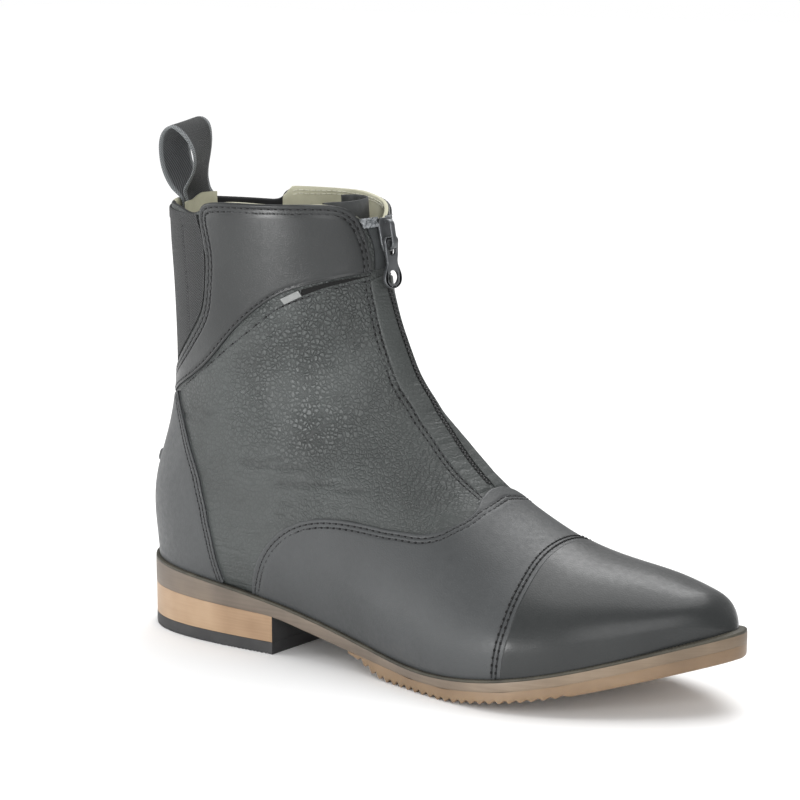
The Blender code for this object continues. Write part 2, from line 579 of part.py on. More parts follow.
def build_sole():
    heel_x = rounded_stations(EDGE[:, 0].min(), BREAST_X, 16, True, False)
    add_x = [BREAST_X, 105, 124]
    full_x = rounded_stations(EDGE[:, 0].min(), EDGE[:, 0].max(), 46, True, True)
    full_x = np.unique(np.concatenate([full_x, add_x]))
    band_top = table(SOLE_TOP, full_x) - WELT_THICK - GAP
    band_low = np.interp(full_x, *np.array(BAND_BOTTOM).T)
    plate("midsole", full_x, EDGE, band_top, band_low, ((0.16, 0.13, 0.11), 0.6))
    block_top = np.interp(heel_x, *np.array(BAND_BOTTOM).T) - 0.1
    plate("heel_block", heel_x, EDGE, block_top, np.full(16, LIFT_TOP), ((0.42, 0.27, 0.15), 0.55))
    lift_top = np.full(16, LIFT_TOP - 0.1)
    plate("heel_top_piece", heel_x, EDGE, lift_top, np.zeros(16), ((0.03, 0.03, 0.03), 0.7))
    ribs = np.arange(RIB_START, RIB_END, RIB_PITCH)
    teeth = (ribs[:, None] + (0, RIB_LAND, RIB_LAND + 0.25, RIB_PITCH - 0.25)).ravel()
    depth = np.tile([0, 0, 1, 1], len(ribs))
    depth = depth * (RIB_DEPTH + (RIB_FADE - RIB_DEPTH) * (teeth - RIB_START) / (RIB_END - RIB_START))
    toe_x = rounded_stations(RIB_END + 2, EDGE[:, 0].max(), 18, False, True)
    x = np.concatenate([[OUTSOLE_START], teeth, toe_x])
    rise = np.concatenate([[0], depth, np.zeros(18)])
    top = np.interp(x, *np.array(BAND_BOTTOM).T) - 0.1
    tread = np.where((x > 152) & (x < 182), 0, np.maximum(table(OUTSOLE_BOTTOM, x), 0))
    plate("outsole", x, EDGE, top, np.minimum(tread + rise, top - 0.6), ((0.5, 0.33, 0.2), 0.45))
    step = np.linspace(0, len(EDGE), WELT_POINTS, endpoint=False).astype(int)
    outer = EDGE[step]
    inner = inset(FEATHER, WELT_CLEAR)[step]
    rings = []
    for plan, drop in ((outer, 0), (outer, WELT_THICK), (inner, WELT_THICK), (inner, 0)):
        rings.append(np.column_stack([plan, table(SOLE_TOP, plan[:, 0]) - drop]))
    faces = []
    n = WELT_POINTS
    for i in range(n):
        for j in range(4):
            k = (i + 1) % n
            faces.append((j * n + i, j * n + k, (j + 1) % 4 * n + k, (j + 1) % 4 * n + i))
    add("welt", np.vstack(rings), faces, ((0.06, 0.055, 0.045), 0.7))
    bed = inset(FEATHER, INSOLE_INSET)
    x = rounded_stations(bed[:, 0].min(), bed[:, 0].max(), 30, True, True)
    low = seat(x)
    plate("insole", x, bed, low + INSOLE_THICK, low, ((0.35, 0.33, 0.27), 0.85))


def build_upper():
    """The one hollow shell: outer and inner sheets, joined along the sole edge and the collar."""
    rows = np.array(UPPER_ROWS + [HEEL_ALONG] + UPPER_ROWS_UP + [1.0])
    heel = len(UPPER_ROWS)
    u = np.linspace(-1, 1, UPPER_COLUMNS)
    across = u - 0.1 * np.sin(2 * np.pi * u)
    top = table(COLLAR_EDGE, across)
    low = UPPER_ROWS_UP[-3]
    grow = np.clip((rows[:, None] - low) / (1 - low), 0, 1)
    along = np.where(grow > 0, low + grow * (top - low), rows[:, None])
    across = np.broadcast_to(across, along.shape)
    outer = on_last(along, across, np.full(along.shape, UPPER_OUT))
    inner = on_last(along, across, np.full(along.shape, UPPER_OUT - WALL))
    n, m = along.shape
    count = n * m
    faces = [*sheet_faces(n, m), *sheet_faces(n, m, count)[:, ::-1]]
    for j in range(m - 1):
        a = (n - 1) * m + j
        faces.append((a, a + 1, a + 1 + count, a + count))
    for i in range(heel):
        for a in (i * m, i * m + m - 1):
            faces.append((a, a + m, a + m + count, a + count))
    add("upper", np.vstack([outer.reshape(-1, 3), inner.reshape(-1, 3)]), faces, ((0.05, 0.05, 0.05), 0.5))


def heel_counter(look):
    """Rows are sections from the edge to the welt; above the heel they meet at the back seam."""
    s = np.concatenate([COUNTER_ROWS, HEEL_ALONG + np.array(COUNTER_ROWS_UP)])
    edge = np.interp(s, *np.array(COUNTER_EDGE).T)
    base = np.interp(s, ALONG, LOW)
    w = 1 - (1 - np.linspace(0, 1, COUNTER_COLUMNS)) ** 1.25
    across = edge[:, None] * (1 - w) + base[:, None] * w
    side = np.stack([np.broadcast_to(s[:, None], across.shape), across], 2)
    n, m = side.shape[:2]
    points = []
    faces = []
    seam = {i * m + m - 1 for i in range(n) if base[i] <= -0.999}
    other = mirrored(side)
    other[..., 1] = np.minimum(other[..., 1], np.interp(s, ALONG, HIGH)[:, None])
    for grid in (side, other):
        for out in (LAYER_OUT, CURVED_IN):
            faces += [f + len(points) for f in sheet_faces(n, m)]
            points += list(on_last(grid[..., 0], grid[..., 1], np.full((n, m), out)).reshape(-1, 3))
        start = len(points) - 2 * n * m
        ring = border(n, m)
        for a, b in zip(ring, np.roll(ring, -1)):
            if not (a in seam and b in seam):
                faces.append(np.array([a, b, b + n * m, a + n * m]) + start)
    add("heel_counter", points, faces, look)


def build_layers():
    leather = ((0.045, 0.045, 0.047), 0.4)
    seam = along_path(CAP_SEAM, 25)
    start = np.stack([np.full(25, CAP_START), seam[:, 1]], 1)
    layer("toe_cap", ruled(seam - (0.0008, 0), start, 9, 1.6), leather, CAP_OUT, CURVED_IN)
    half = along_path(VAMP_EDGE, 15)
    edge = np.vstack([half, mirrored(half)[-2::-1]])
    front = along_path(CAP_SEAM, 29) + (0.0008, 0)
    layer("vamp", ruled(front, edge, 11), leather, LAYER_OUT, CURVED_IN)
    heel_counter(leather)
    bottom = along_path(PANEL_BOTTOM, 25)
    layer("collar_panel_lateral", ruled(along_path(PANEL_TOP, 25), bottom, 5), leather)
    medial = ruled(along_path(PANEL_TOP_MEDIAL, 25), mirrored(bottom), 5)
    layer("collar_panel_medial", medial, leather)
    back = np.stack([np.linspace(GORE_TOP, GORE_EDGE[-1][0] + 0.001, 10), np.full(10, -1.0)], 1)
    gore = round_the_back(along_path(GORE_EDGE, 10), along_path(GORE_EDGE_MEDIAL, 10), back, 7)
    layer("elastic_gore", gore, ((0.05, 0.05, 0.055), 0.85), GORE_OUT, GORE_IN)
    along = np.linspace(FACING_WIDTH[0][0], FACING_WIDTH[-1][0], 18)
    facing = np.stack([along, -table(FACING_WIDTH, along) / np.interp(along, ALONG, HALF_ARC)], 1)
    groove = np.stack([np.linspace(0.362, 0.846, 18), np.full(18, 0.0)], 1)
    groove[:, 1] = -0.9 / np.interp(groove[:, 0], ALONG, HALF_ARC)
    strip = ruled(facing, groove, 3)
    layer("zip_facing_lateral", strip, leather)
    layer("zip_facing_medial", mirrored(strip), leather)
    tape = along_path(TAPE_EDGE, 7)
    middle = np.stack([tape[:, 0], -0.9 / np.interp(tape[:, 0], ALONG, HALF_ARC)], 1)
    tapes = ruled(tape, middle, 3)
    layer("zip_tape_lateral", tapes, ((0.02, 0.02, 0.02), 0.9), GORE_OUT, GORE_IN)
    layer("zip_tape_medial", mirrored(tapes), ((0.02, 0.02, 0.02), 0.9), GORE_OUT, GORE_IN)
    along = np.linspace(0.364, 0.955, 26)
    half = 0.6 / np.interp(along, ALONG, HALF_ARC)
    chain = ruled(np.stack([along, -half], 1), np.stack([along, half], 1), 2)
    layer("zip_chain", chain, ((0.03, 0.03, 0.03), 0.5), 0.1)
    a, b, c, d = (np.array(p) for p in TAG_CORNERS)
    k = np.linspace(0, 1, 4)[:, None]
    layer("side_tag", ruled(a * (1 - k) + b * k, d * (1 - k) + c * k, 2), ((0.5, 0.5, 0.5), 0.8), -0.05)
    t = np.concatenate([np.linspace(-1 + SPUR_REACH, -1, 5), np.linspace(1, 1 - SPUR_REACH, 5)[1:]])
    rise = np.array([0, 0.9, 0.9, 0])[:, None] * np.sqrt(np.clip(1.05 - np.linspace(-1, 1, 9) ** 4, 0, 1))
    s = SPUR_ALONG + SPUR_HALF_HEIGHT * np.array([-1, -0.4, 0.4, 1])[:, None] * np.ones(9)
    grid = np.stack([s, np.broadcast_to(t, s.shape)], 2)
    layer("spur_rest", grid, leather, LAYER_OUT + GAP + 0.4 + (SPUR_OUT - 1.0) * rise, LAYER_OUT + GAP)


def both_faces(path, thick):
    """The two edges of a band of constant thickness along a path."""
    tangent = np.gradient(path, axis=0)
    side = np.stack([-tangent[:, 1], tangent[:, 0]], 1)
    side *= thick / 2 / np.linalg.norm(side, axis=1)[:, None]
    return path + side, path - side


def build_loop():
    """Webbing teardrop over the back of the collar; its two legs follow the curve of the back inside."""
    rows = np.array(LOOP_EDGES)
    near = both_faces(along_path(rows[:, :2], 35), LOOP_THICK)
    far = both_faces(along_path(rows[:, 2:], 35), LOOP_THICK)
    w = np.linspace(0, 1, 4)
    y = (w - 0.5) * LOOP_WIDTH
    sheets = []
    for a, b in zip(near, far):
        x, z = np.moveaxis(a[:, None] * (1 - w)[:, None] + b[:, None] * w[:, None], 2, 0)
        sheets.append(np.stack([x + smooth((202 - z) / 10) * y**2 / 50, y + 0 * x, z], 2))
    slab("pull_loop", sheets[0], sheets[1], ((0.05, 0.05, 0.055), 0.9))


def build_guard():
    """Leather guard behind the zip, its free edge curled into the shaft."""
    z = np.linspace(GUARD_BOTTOM, GUARD_TOP, 5)
    slope = np.interp(z, [GUARD_BOTTOM, 175, GUARD_TOP], [4.2, 1.9, 0.7])
    sheets = []
    for p in both_faces(along_path(GUARD_PATH, 17), GUARD_THICK):
        x, y = p[:, :1], p[:, 1:]
        ahead = smooth((y + 17) / 13)
        sheets.append(np.stack([x + slope * ahead, y + 0 * z, z + 0 * x], 2))
    slab("zip_guard", sheets[0], sheets[1], ((0.04, 0.04, 0.04), 0.6))


def zip_frame():
    """Origin and axes at the pull tab's hinge: down the front, across, and out."""
    origin = on_last(HINGE_ALONG, 0.0, HINGE_OUT)
    up = on_last(HINGE_ALONG + 0.02, 0.0, 0.0) - on_last(HINGE_ALONG - 0.02, 0.0, 0.0)
    pitch = math.atan2(-up[0], up[2])
    side = np.array([-math.sin(ZIP_YAW), math.cos(ZIP_YAW), 0.0])
    ahead = np.array([math.cos(ZIP_YAW), math.sin(ZIP_YAW), 0.0])
    down = ahead * math.sin(pitch) - np.array([0, 0, math.cos(pitch)])
    return origin, down, side, np.cross(down, side)


def build_zip():
    metal = ((0.05, 0.05, 0.05), 0.4, 0.6)
    origin, down, side, out = zip_frame()
    frame = origin, down, side, out
    body = prism("zip_slider", both_sides(SLIDER_TABLE, 8), [], *SLIDER_LEVELS, frame, metal)
    turned = origin, down, out, side
    bridge = prism("zip_bridge", BRIDGE_SIDE, [], -BRIDGE_HALF, BRIDGE_HALF, turned, metal)
    bridge.hide_render = True
    bridge.hide_set(True)
    union = body.modifiers.new("bridge", "BOOLEAN")
    union.operation = "UNION"
    union.solver = "EXACT"
    union.object = bridge
    turn = math.cos(TAB_TILT), math.sin(TAB_TILT)
    tab_down = down * turn[0] - out * turn[1]
    tab_out = out * turn[0] + down * turn[1]
    a, b = EYE_LENGTH
    eye = [
        (a, -1.2), (a, 1.2), (a + 0.6, EYE_HALF), (b - 0.8, EYE_HALF), (b, 1.0), (b, -1.0),
        (b - 0.8, -EYE_HALF), (a + 0.6, -EYE_HALF),
    ]
    centre, radius = TAB_HOLE
    angle = np.linspace(0, 2 * np.pi, 16, endpoint=False)
    hole = np.stack([centre + radius * np.cos(angle), radius * np.sin(angle)], 1)
    hung = origin, tab_down, side, tab_out
    prism("zip_pull_tab", both_sides(TAB_HALF, 14), [eye, hole], -TAB_THICK / 2, TAB_THICK / 2, hung, metal)


def set_origin():
    """Moves every piece so that the origin is the bottom centre of the whole."""
    pieces = list(bpy.context.scene.objects)
    ends = np.array([v.co for o in pieces for v in o.data.vertices])
    low, high = ends.min(0), ends.max(0)
    shift = np.array([(low[0] + high[0]) / 2, (low[1] + high[1]) / 2, low[2]])
    for obj in pieces:
        points = np.array([v.co for v in obj.data.vertices]) - shift
        obj.data.vertices.foreach_set("co", points.ravel())
        obj.data.update()


for old in list(bpy.data.objects):
    bpy.data.objects.remove(old)
build_sole()
build_upper()
build_layers()
build_loop()
build_guard()
build_zip()
set_origin()
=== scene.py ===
"""Looks of a right front-zip ankle boot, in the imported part's own frame."""

import math

import bpy
import numpy as np
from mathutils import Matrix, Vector
from mathutils.geometry import tessellate_polygon


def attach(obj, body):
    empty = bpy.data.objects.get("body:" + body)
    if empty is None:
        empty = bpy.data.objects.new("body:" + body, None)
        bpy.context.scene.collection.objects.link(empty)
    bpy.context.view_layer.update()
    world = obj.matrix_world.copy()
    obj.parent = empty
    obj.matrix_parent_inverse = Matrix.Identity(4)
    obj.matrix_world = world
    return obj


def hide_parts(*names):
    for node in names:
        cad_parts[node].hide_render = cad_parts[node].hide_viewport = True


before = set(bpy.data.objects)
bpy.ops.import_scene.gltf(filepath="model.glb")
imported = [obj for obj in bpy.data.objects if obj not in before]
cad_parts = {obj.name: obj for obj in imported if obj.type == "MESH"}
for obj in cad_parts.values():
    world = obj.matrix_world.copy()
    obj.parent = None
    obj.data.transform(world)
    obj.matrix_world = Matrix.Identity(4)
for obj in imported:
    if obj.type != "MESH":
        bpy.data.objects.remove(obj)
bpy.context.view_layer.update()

# Shape tables, in millimetres. X runs from heel to toe, +Y is the medial side, Z is up.
ORIGIN = np.array([143.4512, 0.7577, 0.0])  # the part's origin in the tables' axes
SEAT = 1.0
EASE_BAND = 34.0
BREAST_X = 83.5
LIFT_TOP = 5.5
OUTSOLE_START = 126.0
RIB_START, RIB_END, RIB_PITCH, RIB_DEPTH, RIB_FADE = 131.0, 238.0, 4.5, 1.8, 0.7
OUTLINE = [  # x, y of the sole edge, heel back first, then the lateral side
    (-3.5, 0), (5, -20), (28, -31.5), (74, -33), (112, -32), (148, -37), (180, -44), (207, -45.5),
    (233, -38), (258, -22.5), (278, -6), (290.5, 11), (287.5, 23), (272, 36), (244, 45), (210, 47.5),
    (176, 42), (141, 31), (110, 26.5), (74, 30), (28, 31), (5, 20),
]
SOLE_TOP = [  # x, z of the welt's top
    (-3.5, 32.6), (8, 31.7), (58, 27.3), (84, 23.5), (115, 17.2), (146, 11.8), (164, 10), (185, 10.6),
    (213, 14.2), (236, 19.1), (257, 24.8), (273, 29.5), (290.5, 34.3),
]
BAND_BOTTOM = [  # x, z where the midsole band ends
    (-3.5, 20), (BREAST_X, 17.3), (105, 12.6), (124, 9.2), (147, 6.7), (164, 5.2), (185, 5.5), (213, 8.8),
    (236, 13.7), (257, 19.3), (273, 23.9), (290.5, 28.6),
]
OUTSOLE_BOTTOM = [  # x, z of the tread
    (OUTSOLE_START, 8.0), (131.6, 6.2), (140, 2.2), (147, 0.3), (152, 0), (167, 0), (182, 0), (200, 2),
    (216, 4.5), (236, 8.5), (254, 13.1), (273, 18.3), (290.5, 23),
]
CROWN_Y = [  # crown x, y of the ridge
    (0, 0), (60, 0), (118.5, 0.5), (120.3, 1.6), (123.5, 3.4), (129, 4.4), (138, 4.7), (150, 4.4),
    (166, 4.4), (178, 5), (200, 6.3), (228, 8), (254, 9.5), (271, 11), (286, 13.8),
]
RIDGE = [  # crown x, how much sharper than round the medial side is next to the ridge
    (117.5, 0), (118.5, 0.1), (120.3, 0.25), (123.5, 0.35), (136, 0.36), (143, 0.28), (150, 0.06),
    (157, -0.1), (166, -0.18), (180, -0.15), (198, -0.08), (216, 0),
]

# Curves on the last as (along, across): along is 0 at the toe tip and 1 at the collar, across is -1 at the
# lateral base, 0 on the crown and 1 at the medial base.
CAP_SEAM = [  # along, across
    (0.2478, -1), (0.2392, -0.87), (0.2325, -0.75), (0.2302, -0.6), (0.2292, -0.45), (0.2305, -0.28),
    (0.2322, -0.08), (0.2335, 0.1), (0.2365, 0.35), (0.2425, 0.6), (0.2495, 0.85), (0.258, 1),
]
PANEL_TOP = [  # along, across, from the zip round the collar and down the gore
    (0.935, -0.066), (0.972, -0.088), (0.992, -0.125), (0.999, -0.2), (0.999, -0.34), (0.999, -0.52),
    (0.992, -0.59), (0.954, -0.587), (0.910, -0.606), (0.890, -0.627), (0.872, -0.688), (0.855, -0.806),
    (0.848, -0.996),
]
PANEL_TOP_MEDIAL = [  # the same on the medial side
    (0.935, 0.066), (0.962, 0.098), (0.979, 0.15), (0.9915, 0.25), (0.9975, 0.37), (0.999, 0.5),
    (0.999, 0.62), (0.993, 0.672), (0.954, 0.668), (0.910, 0.675), (0.890, 0.688), (0.872, 0.722),
    (0.855, 0.812), (0.848, 0.996),
]
PANEL_BOTTOM = [  # along, across, from the zip to the back
    (0.858, -0.056), (0.866, -0.15), (0.873, -0.269), (0.873, -0.337), (0.865, -0.425), (0.848, -0.531),
    (0.833, -0.613), (0.827, -0.781), (0.825, -0.996),
]
GORE_EDGE = [  # along, across, from the collar down
    (0.985, -0.612), (0.954, -0.594), (0.910, -0.613), (0.892, -0.635), (0.875, -0.696), (0.859, -0.812),
    (0.853, -0.99),
]
GORE_EDGE_MEDIAL = [  # the same on the medial side
    (0.9855, 0.697), (0.954, 0.675), (0.910, 0.682), (0.892, 0.696), (0.875, 0.73), (0.859, 0.818),
    (0.853, 0.99),
]
GORE_TOP = 0.9926
FACING_WIDTH = [  # along, distance of the facing's edge from the crown
    (0.3585, 9.2), (0.4, 10.4), (0.5, 10.7), (0.66, 10.8), (0.72, 10.9), (0.77, 10.5), (0.846, 9.3),
]
TAPE_EDGE = [(0.862, -0.046), (0.91, -0.043), (0.935, -0.05), (0.962, -0.062)]  # along, across
TAG_CORNERS = [(0.8667, -0.338), (0.869, -0.28), (0.859, -0.269), (0.857, -0.325)]  # along, across
COLLAR_EDGE = [  # across, along of the upper's own top edge
    (-1, 0.9926), (-0.8, 0.9916), (-0.7, 0.988), (-0.63, 0.985), (-0.585, 0.99), (-0.52, 0.996),
    (-0.25, 0.996), (-0.15, 0.993), (-0.1, 0.978), (-0.045, 0.957), (0, 0.955), (0.045, 0.957), (0.1, 0.968),
    (0.15, 0.979), (0.25, 0.9905), (0.37, 0.9965), (0.5, 0.9985), (0.6, 0.9985), (0.64, 0.9965),
    (0.66, 0.991), (0.68, 0.9868), (0.72, 0.9858), (0.8, 0.988), (1, 0.9926),
]
VAMP_EDGE = [  # from the lateral base to the crown, with the tab over the end of the zip
    (0.5412, -1), (0.5515, -0.8982), (0.561, -0.7996), (0.5655, -0.7172), (0.5645, -0.6533),
    (0.5555, -0.597), (0.5365, -0.5515), (0.506, -0.5147), (0.4765, -0.4898), (0.4505, -0.4703),
    (0.436, -0.4562), (0.41, -0.4334), (0.389, -0.4009), (0.369, -0.3533), (0.3545, -0.3056),
    (0.347, -0.2633), (0.3435, -0.2211), (0.3445, -0.1745), (0.3495, -0.1279), (0.352, -0.0922),
    (0.3545, -0.0586), (0.355, 0),
]
VAMP_ROW = [  # the vamp's outer row of stitches
    (0.5382, -1), (0.5475, -0.8938), (0.556, -0.8007), (0.56, -0.7238), (0.5585, -0.6642), (0.55, -0.61),
    (0.5315, -0.5667), (0.5025, -0.5309), (0.474, -0.506), (0.4485, -0.4865), (0.4325, -0.4713),
    (0.4195, -0.4616), (0.399, -0.4399), (0.3825, -0.4118), (0.371, -0.3847), (0.357, -0.3327),
    (0.3455, -0.2872), (0.3395, -0.2417), (0.337, -0.1962), (0.3335, -0.1301), (0.3335, -0.0651), (0.336, 0),
]
COUNTER_EDGE = [  # from the base up
    (0.5665, -1), (0.572, -0.9718), (0.5775, -0.948), (0.5835, -0.9242), (0.5895, -0.9003), (0.596, -0.8765),
    (0.6025, -0.8516), (0.609, -0.8277), (0.6165, -0.8028), (0.624, -0.7779), (0.6315, -0.7552),
    (0.64, -0.7292), (0.6485, -0.7032), (0.658, -0.6709), (0.6679, -0.6255), (0.674, -0.6222),
    (0.681, -0.6208), (0.688, -0.6208), (0.6955, -0.6219), (0.703, -0.6241), (0.7105, -0.6284),
    (0.7185, -0.6349), (0.7265, -0.6414), (0.7345, -0.649), (0.743, -0.6577), (0.752, -0.6696),
    (0.7605, -0.6815), (0.7695, -0.6956), (0.7785, -0.7118), (0.7875, -0.7313), (0.7965, -0.7519),
    (0.805, -0.7714), (0.8135, -0.792), (0.8225, -0.816),
]
PANEL_BACK = [(0.848, -0.996), (0.84, -0.996), (0.833, -0.996), (0.825, -0.996)]
PANEL_FRONT = [(0.858, -0.056), (0.885, -0.057), (0.912, -0.060), (0.935, -0.066)]
GORE_SEAM = [(0.9795, -0.6956), (0.924, -0.6999), (0.873, -0.714)]
QUARTER_SEAM = [  # the stitched line on the quarter below the collar panel
    (0.845, -0.0575), (0.849, -0.1247), (0.8525, -0.1843), (0.855, -0.2677), (0.8545, -0.3543),
    (0.845, -0.4367), (0.837, -0.5223), (0.8275, -0.6328), (0.823, -0.76), (0.8205, -0.82),
]
SLIT_TOP = [(0.8685, -0.2698), (0.866, -0.2124), (0.8625, -0.1539), (0.857, -0.0954), (0.8545, -0.0629)]
SLIT_LOW = [
    (0.8595, -0.2731), (0.8595, -0.2384), (0.859, -0.1994), (0.857, -0.155), (0.855, -0.1095),
    (0.8535, -0.0597),
]
CREASES = [  # depth, half width, then the trough's points
    (0.84, 1.44, [
        (0.69, -0.5136), (0.6705, -0.4518), (0.6585, -0.441), (0.639, -0.4226), (0.6155, -0.3782),
    ]),
    (0.56, 1.20, [(0.7005, -0.5363), (0.681, -0.4713), (0.6665, -0.4172), (0.635, -0.3912)]),
    (0.70, 1.56, [(0.6425, -0.5114), (0.6155, -0.4789), (0.5825, -0.4345), (0.5545, -0.3847)]),
    (0.56, 1.44, [(0.575, -0.4529), (0.5435, -0.4118), (0.5145, -0.3619)]),
    (0.70, 1.44, [(0.7985, -0.7768), (0.7795, -0.6902), (0.759, -0.61), (0.743, -0.5591)]),
    (0.56, 1.20, [(0.8025, -0.7573), (0.784, -0.6533), (0.763, -0.5808), (0.748, -0.5244)]),
    (0.84, 1.32, [(0.7, -0.2363), (0.69, -0.1918), (0.687, -0.1626), (0.6855, -0.1474)]),
    (0.49, 1.32, [(0.6045, -0.6133), (0.5885, -0.6035), (0.568, -0.5981)]),
    (0.70, 1.44, [(0.69, 0.5), (0.66, 0.43), (0.62, 0.37)]),
    (0.63, 1.44, [(0.64, 0.5), (0.59, 0.43), (0.55, 0.37)]),
    (0.70, 1.32, [(0.79, 0.71), (0.77, 0.63), (0.745, 0.55)]),
]
SWELLS = [  # along, across, size in mm, height in mm: broad hollows and fullness of the shaft
    (0.66, -0.22, 30, -0.9), (0.62, -0.40, 26, 0.5), (0.74, -0.45, 30, -0.5), (0.52, -0.30, 24, 0.5),
    (0.66, 0.22, 30, -0.9), (0.62, 0.40, 26, 0.5), (0.74, 0.45, 30, -0.5), (0.52, 0.30, 24, 0.5),
]

# Loop, guard, spur rest and zip
LOOP_EDGES = [  # x, z of the webbing's lateral edge and of its medial edge, front leg first
    (16.4, 178, 16.4, 178), (16.4, 187, 16.4, 187), (16.2, 191.5, 16, 191.5), (17, 196, 14.4, 196.5),
    (19.7, 200, 13.3, 201), (22.1, 203.6, 13.6, 205.5), (23.5, 210, 15, 211.7), (21.4, 215.8, 15.9, 219.2),
    (15.7, 221.3, 13.9, 225.4), (8.9, 223.6, 9, 227), (5, 221, 4.3, 224), (3.1, 212.6, 2.6, 215),
    (6, 202, 5.6, 203.5), (9.8, 197, 9.6, 197.3), (13.6, 192.6, 13.6, 192.6), (14.3, 188, 14.3, 188),
    (14.5, 178, 14.5, 178),
]
LOOP_WIDTH, LOOP_THICK, LOOP_FOOT = 21.0, 1.3, 196.5
BACK_BEND = 50.0  # inside the back, x grows by the square of y over this
PATCH_SIDES, PATCH_HEIGHTS = (-17.0, 9.0), (172.0, 192.0)  # y and z of the lining over the loop's legs
PATCH_FRONT = 17.75
GUARD_PATH = [  # x, y of the zip guard's middle line in plan
    (103.3, -19.2), (103.9, -15), (106.5, -10), (107.1, -4), (106.1, 3), (104.1, 8.5), (101.3, 12.5),
    (98.1, 15.2), (94.9, 16.4), (91.8, 16.3), (89.5, 14.6), (88.1, 11.5),
]
GUARD_BOTTOM, GUARD_TOP, GUARD_THICK = 164.0, 197.0, 1.2
SPUR_ALONG, SPUR_HALF_HEIGHT, SPUR_REACH, SPUR_OUT = 0.7635, 0.0065, 0.075, 3.4
HINGE_ALONG, HINGE_OUT = 0.917, 3.6
ZIP_YAW, TAB_TILT = math.radians(-9), math.radians(5)
TAB_HALF = [  # distance below the hinge, half width
    (-0.8, 2.9), (0, 3.6), (3, 3.6), (7.5, 3.2), (10.5, 2.95), (13, 3.9), (16.2, 4.9), (18.8, 4.5),
    (20.5, 2.9), (21.2, 1.0),
]
TAB_THICK, TAB_ROUND, TAB_HOLE, EYE_LENGTH, EYE_HALF = 1.6, 0.35, (16.4, 3.0), (0.8, 6.9), 2.2
SLIDER_TABLE = [  # distance below the hinge, half width
    (-9.2, 2.6), (-8.2, 3.5), (-3, 3.9), (2.6, 3.4), (5.2, 2.6),
]
SLIDER_LEVELS, BRIDGE_HALF = (-2.85, -1.6), 1.3
BRIDGE_ARCH = [  # distance below the hinge, height over it, along the bridge's middle line
    (-7.7, -1.7), (-7.55, 0.3), (-6.5, 1.6), (-4.8, 1.85), (0, 2.1), (2.2, 2.1), (3.4, 1.55), (4.0, 0.2),
    (4.05, -1.7),
]

# Heights over the last, and sizes of the sewing
QUARTER_OUT, LINING_OUT = -0.9, -2.95
FACING_OUT = (-0.5, 0.1)  # lateral, medial
OVERLAY_OUT, CAP_OUT, OVERLAY_IN = 0.4, 0.9, -1.0
EDGE_ROUND = 0.75
STITCH_PITCH, STITCH_DIP = 3.2, 0.24
EDGE_ROWS = (2.0, 3.9)
COUNTER_SEAM = (1.4, 3.2)
FACING_SEAM = (0.6, 2.6)
THREAD = (2.2, 0.65, 1.0)  # length, width and height over width of a stitch
# size of a near-black spindle that stands for a needle hole's shadow
NEEDLE_HOLE_SHADE = (1.4, 0.95, 0.2)
GORE_STITCH = (-0.45, 2.2)  # level and pitch of the elastic's seams
LINING_ROWS = (1.0, 2.6)  # distance of the lining's stitches below the collar
PANEL_ROW = 1.4  # distance of the row along the collar panel's lower edge
CREASE_FADE = 9.0  # length over which a crease runs out at each end
COLLAR_LOW, RIM_RISE = 0.91, 0.002  # along: where the shell starts to bend to its edge; the medial rim
GORE_BACK, GORE_BACK_LOW = [(-0.85, -0.6), (0.67, 0.945)], 0.855  # where the elastic's back shows inside
MILL_PITCH, MILL_DEPTH = 1.6, 0.6  # teeth of the heel lift's foot
WELT_PITCH, WELT_DEPTH = 1.5, 0.3  # notches of the welt
COIL_PITCH, COIL_OUT = 1.9, -0.9
MERGE_STEPS = 400  # points in the same 1/400 mm are one
SHAFT_SCALE = 430.0  # millimetres per unit of along at the shaft's sides; less in front, more at the back
SIDES = (("lateral", 1), ("medial", -1))  # with the sign that turns a lateral curve to that side


def smooth(k):
    """Cubic step from 0 to 1."""
    k = np.clip(k, 0, 1)
    return k * k * (3 - 2 * k)


def spline(knots, values, at, flat_start=False):
    """Natural cubic spline; flat_start gives it a level first end."""
    k = np.asarray(knots, float)
    v = np.asarray(values, float)
    n = len(k)
    h = np.diff(k)
    a = np.eye(n)
    r = np.zeros(n)
    if flat_start:
        a[0, :2] = 2 * h[0], h[0]
        r[0] = 6 * (v[1] - v[0]) / h[0]
    for i in range(1, n - 1):
        a[i, i - 1 : i + 2] = h[i - 1], 2 * (h[i - 1] + h[i]), h[i]
        r[i] = 6 * ((v[i + 1] - v[i]) / h[i] - (v[i] - v[i - 1]) / h[i - 1])
    m = np.linalg.solve(a, r)
    at = np.clip(np.asarray(at, float), k[0], k[-1])
    i = np.clip(np.searchsorted(k, at) - 1, 0, n - 2)
    p = (k[i + 1] - at) / h[i]
    q = 1 - p
    return p * v[i] + q * v[i + 1] + ((p**3 - p) * m[i] + (q**3 - q) * m[i + 1]) * h[i] ** 2 / 6


def table(rows, at):
    """The second column of a table as a smooth function of the first."""
    k, v = np.array(rows, float).T
    return spline(k, v, at)


def straight(rows, at):
    """The second column of a table at values of the first, straight between the rows."""
    return np.interp(at, *np.array(rows, float).T)


def level_run(values, count=13):
    """Values with their corners eased: the mean of that many neighbours."""
    return np.convolve(np.pad(values, count // 2, "edge"), np.full(count, 1 / count), "valid")


def run_length(points):
    """Length along a line of points, up to each of them."""
    return np.concatenate([[0], np.cumsum(np.linalg.norm(np.diff(points, axis=0), axis=1))])


def unit(vectors):
    """Vectors scaled to length 1."""
    return vectors / np.linalg.norm(vectors, axis=-1)[..., None]


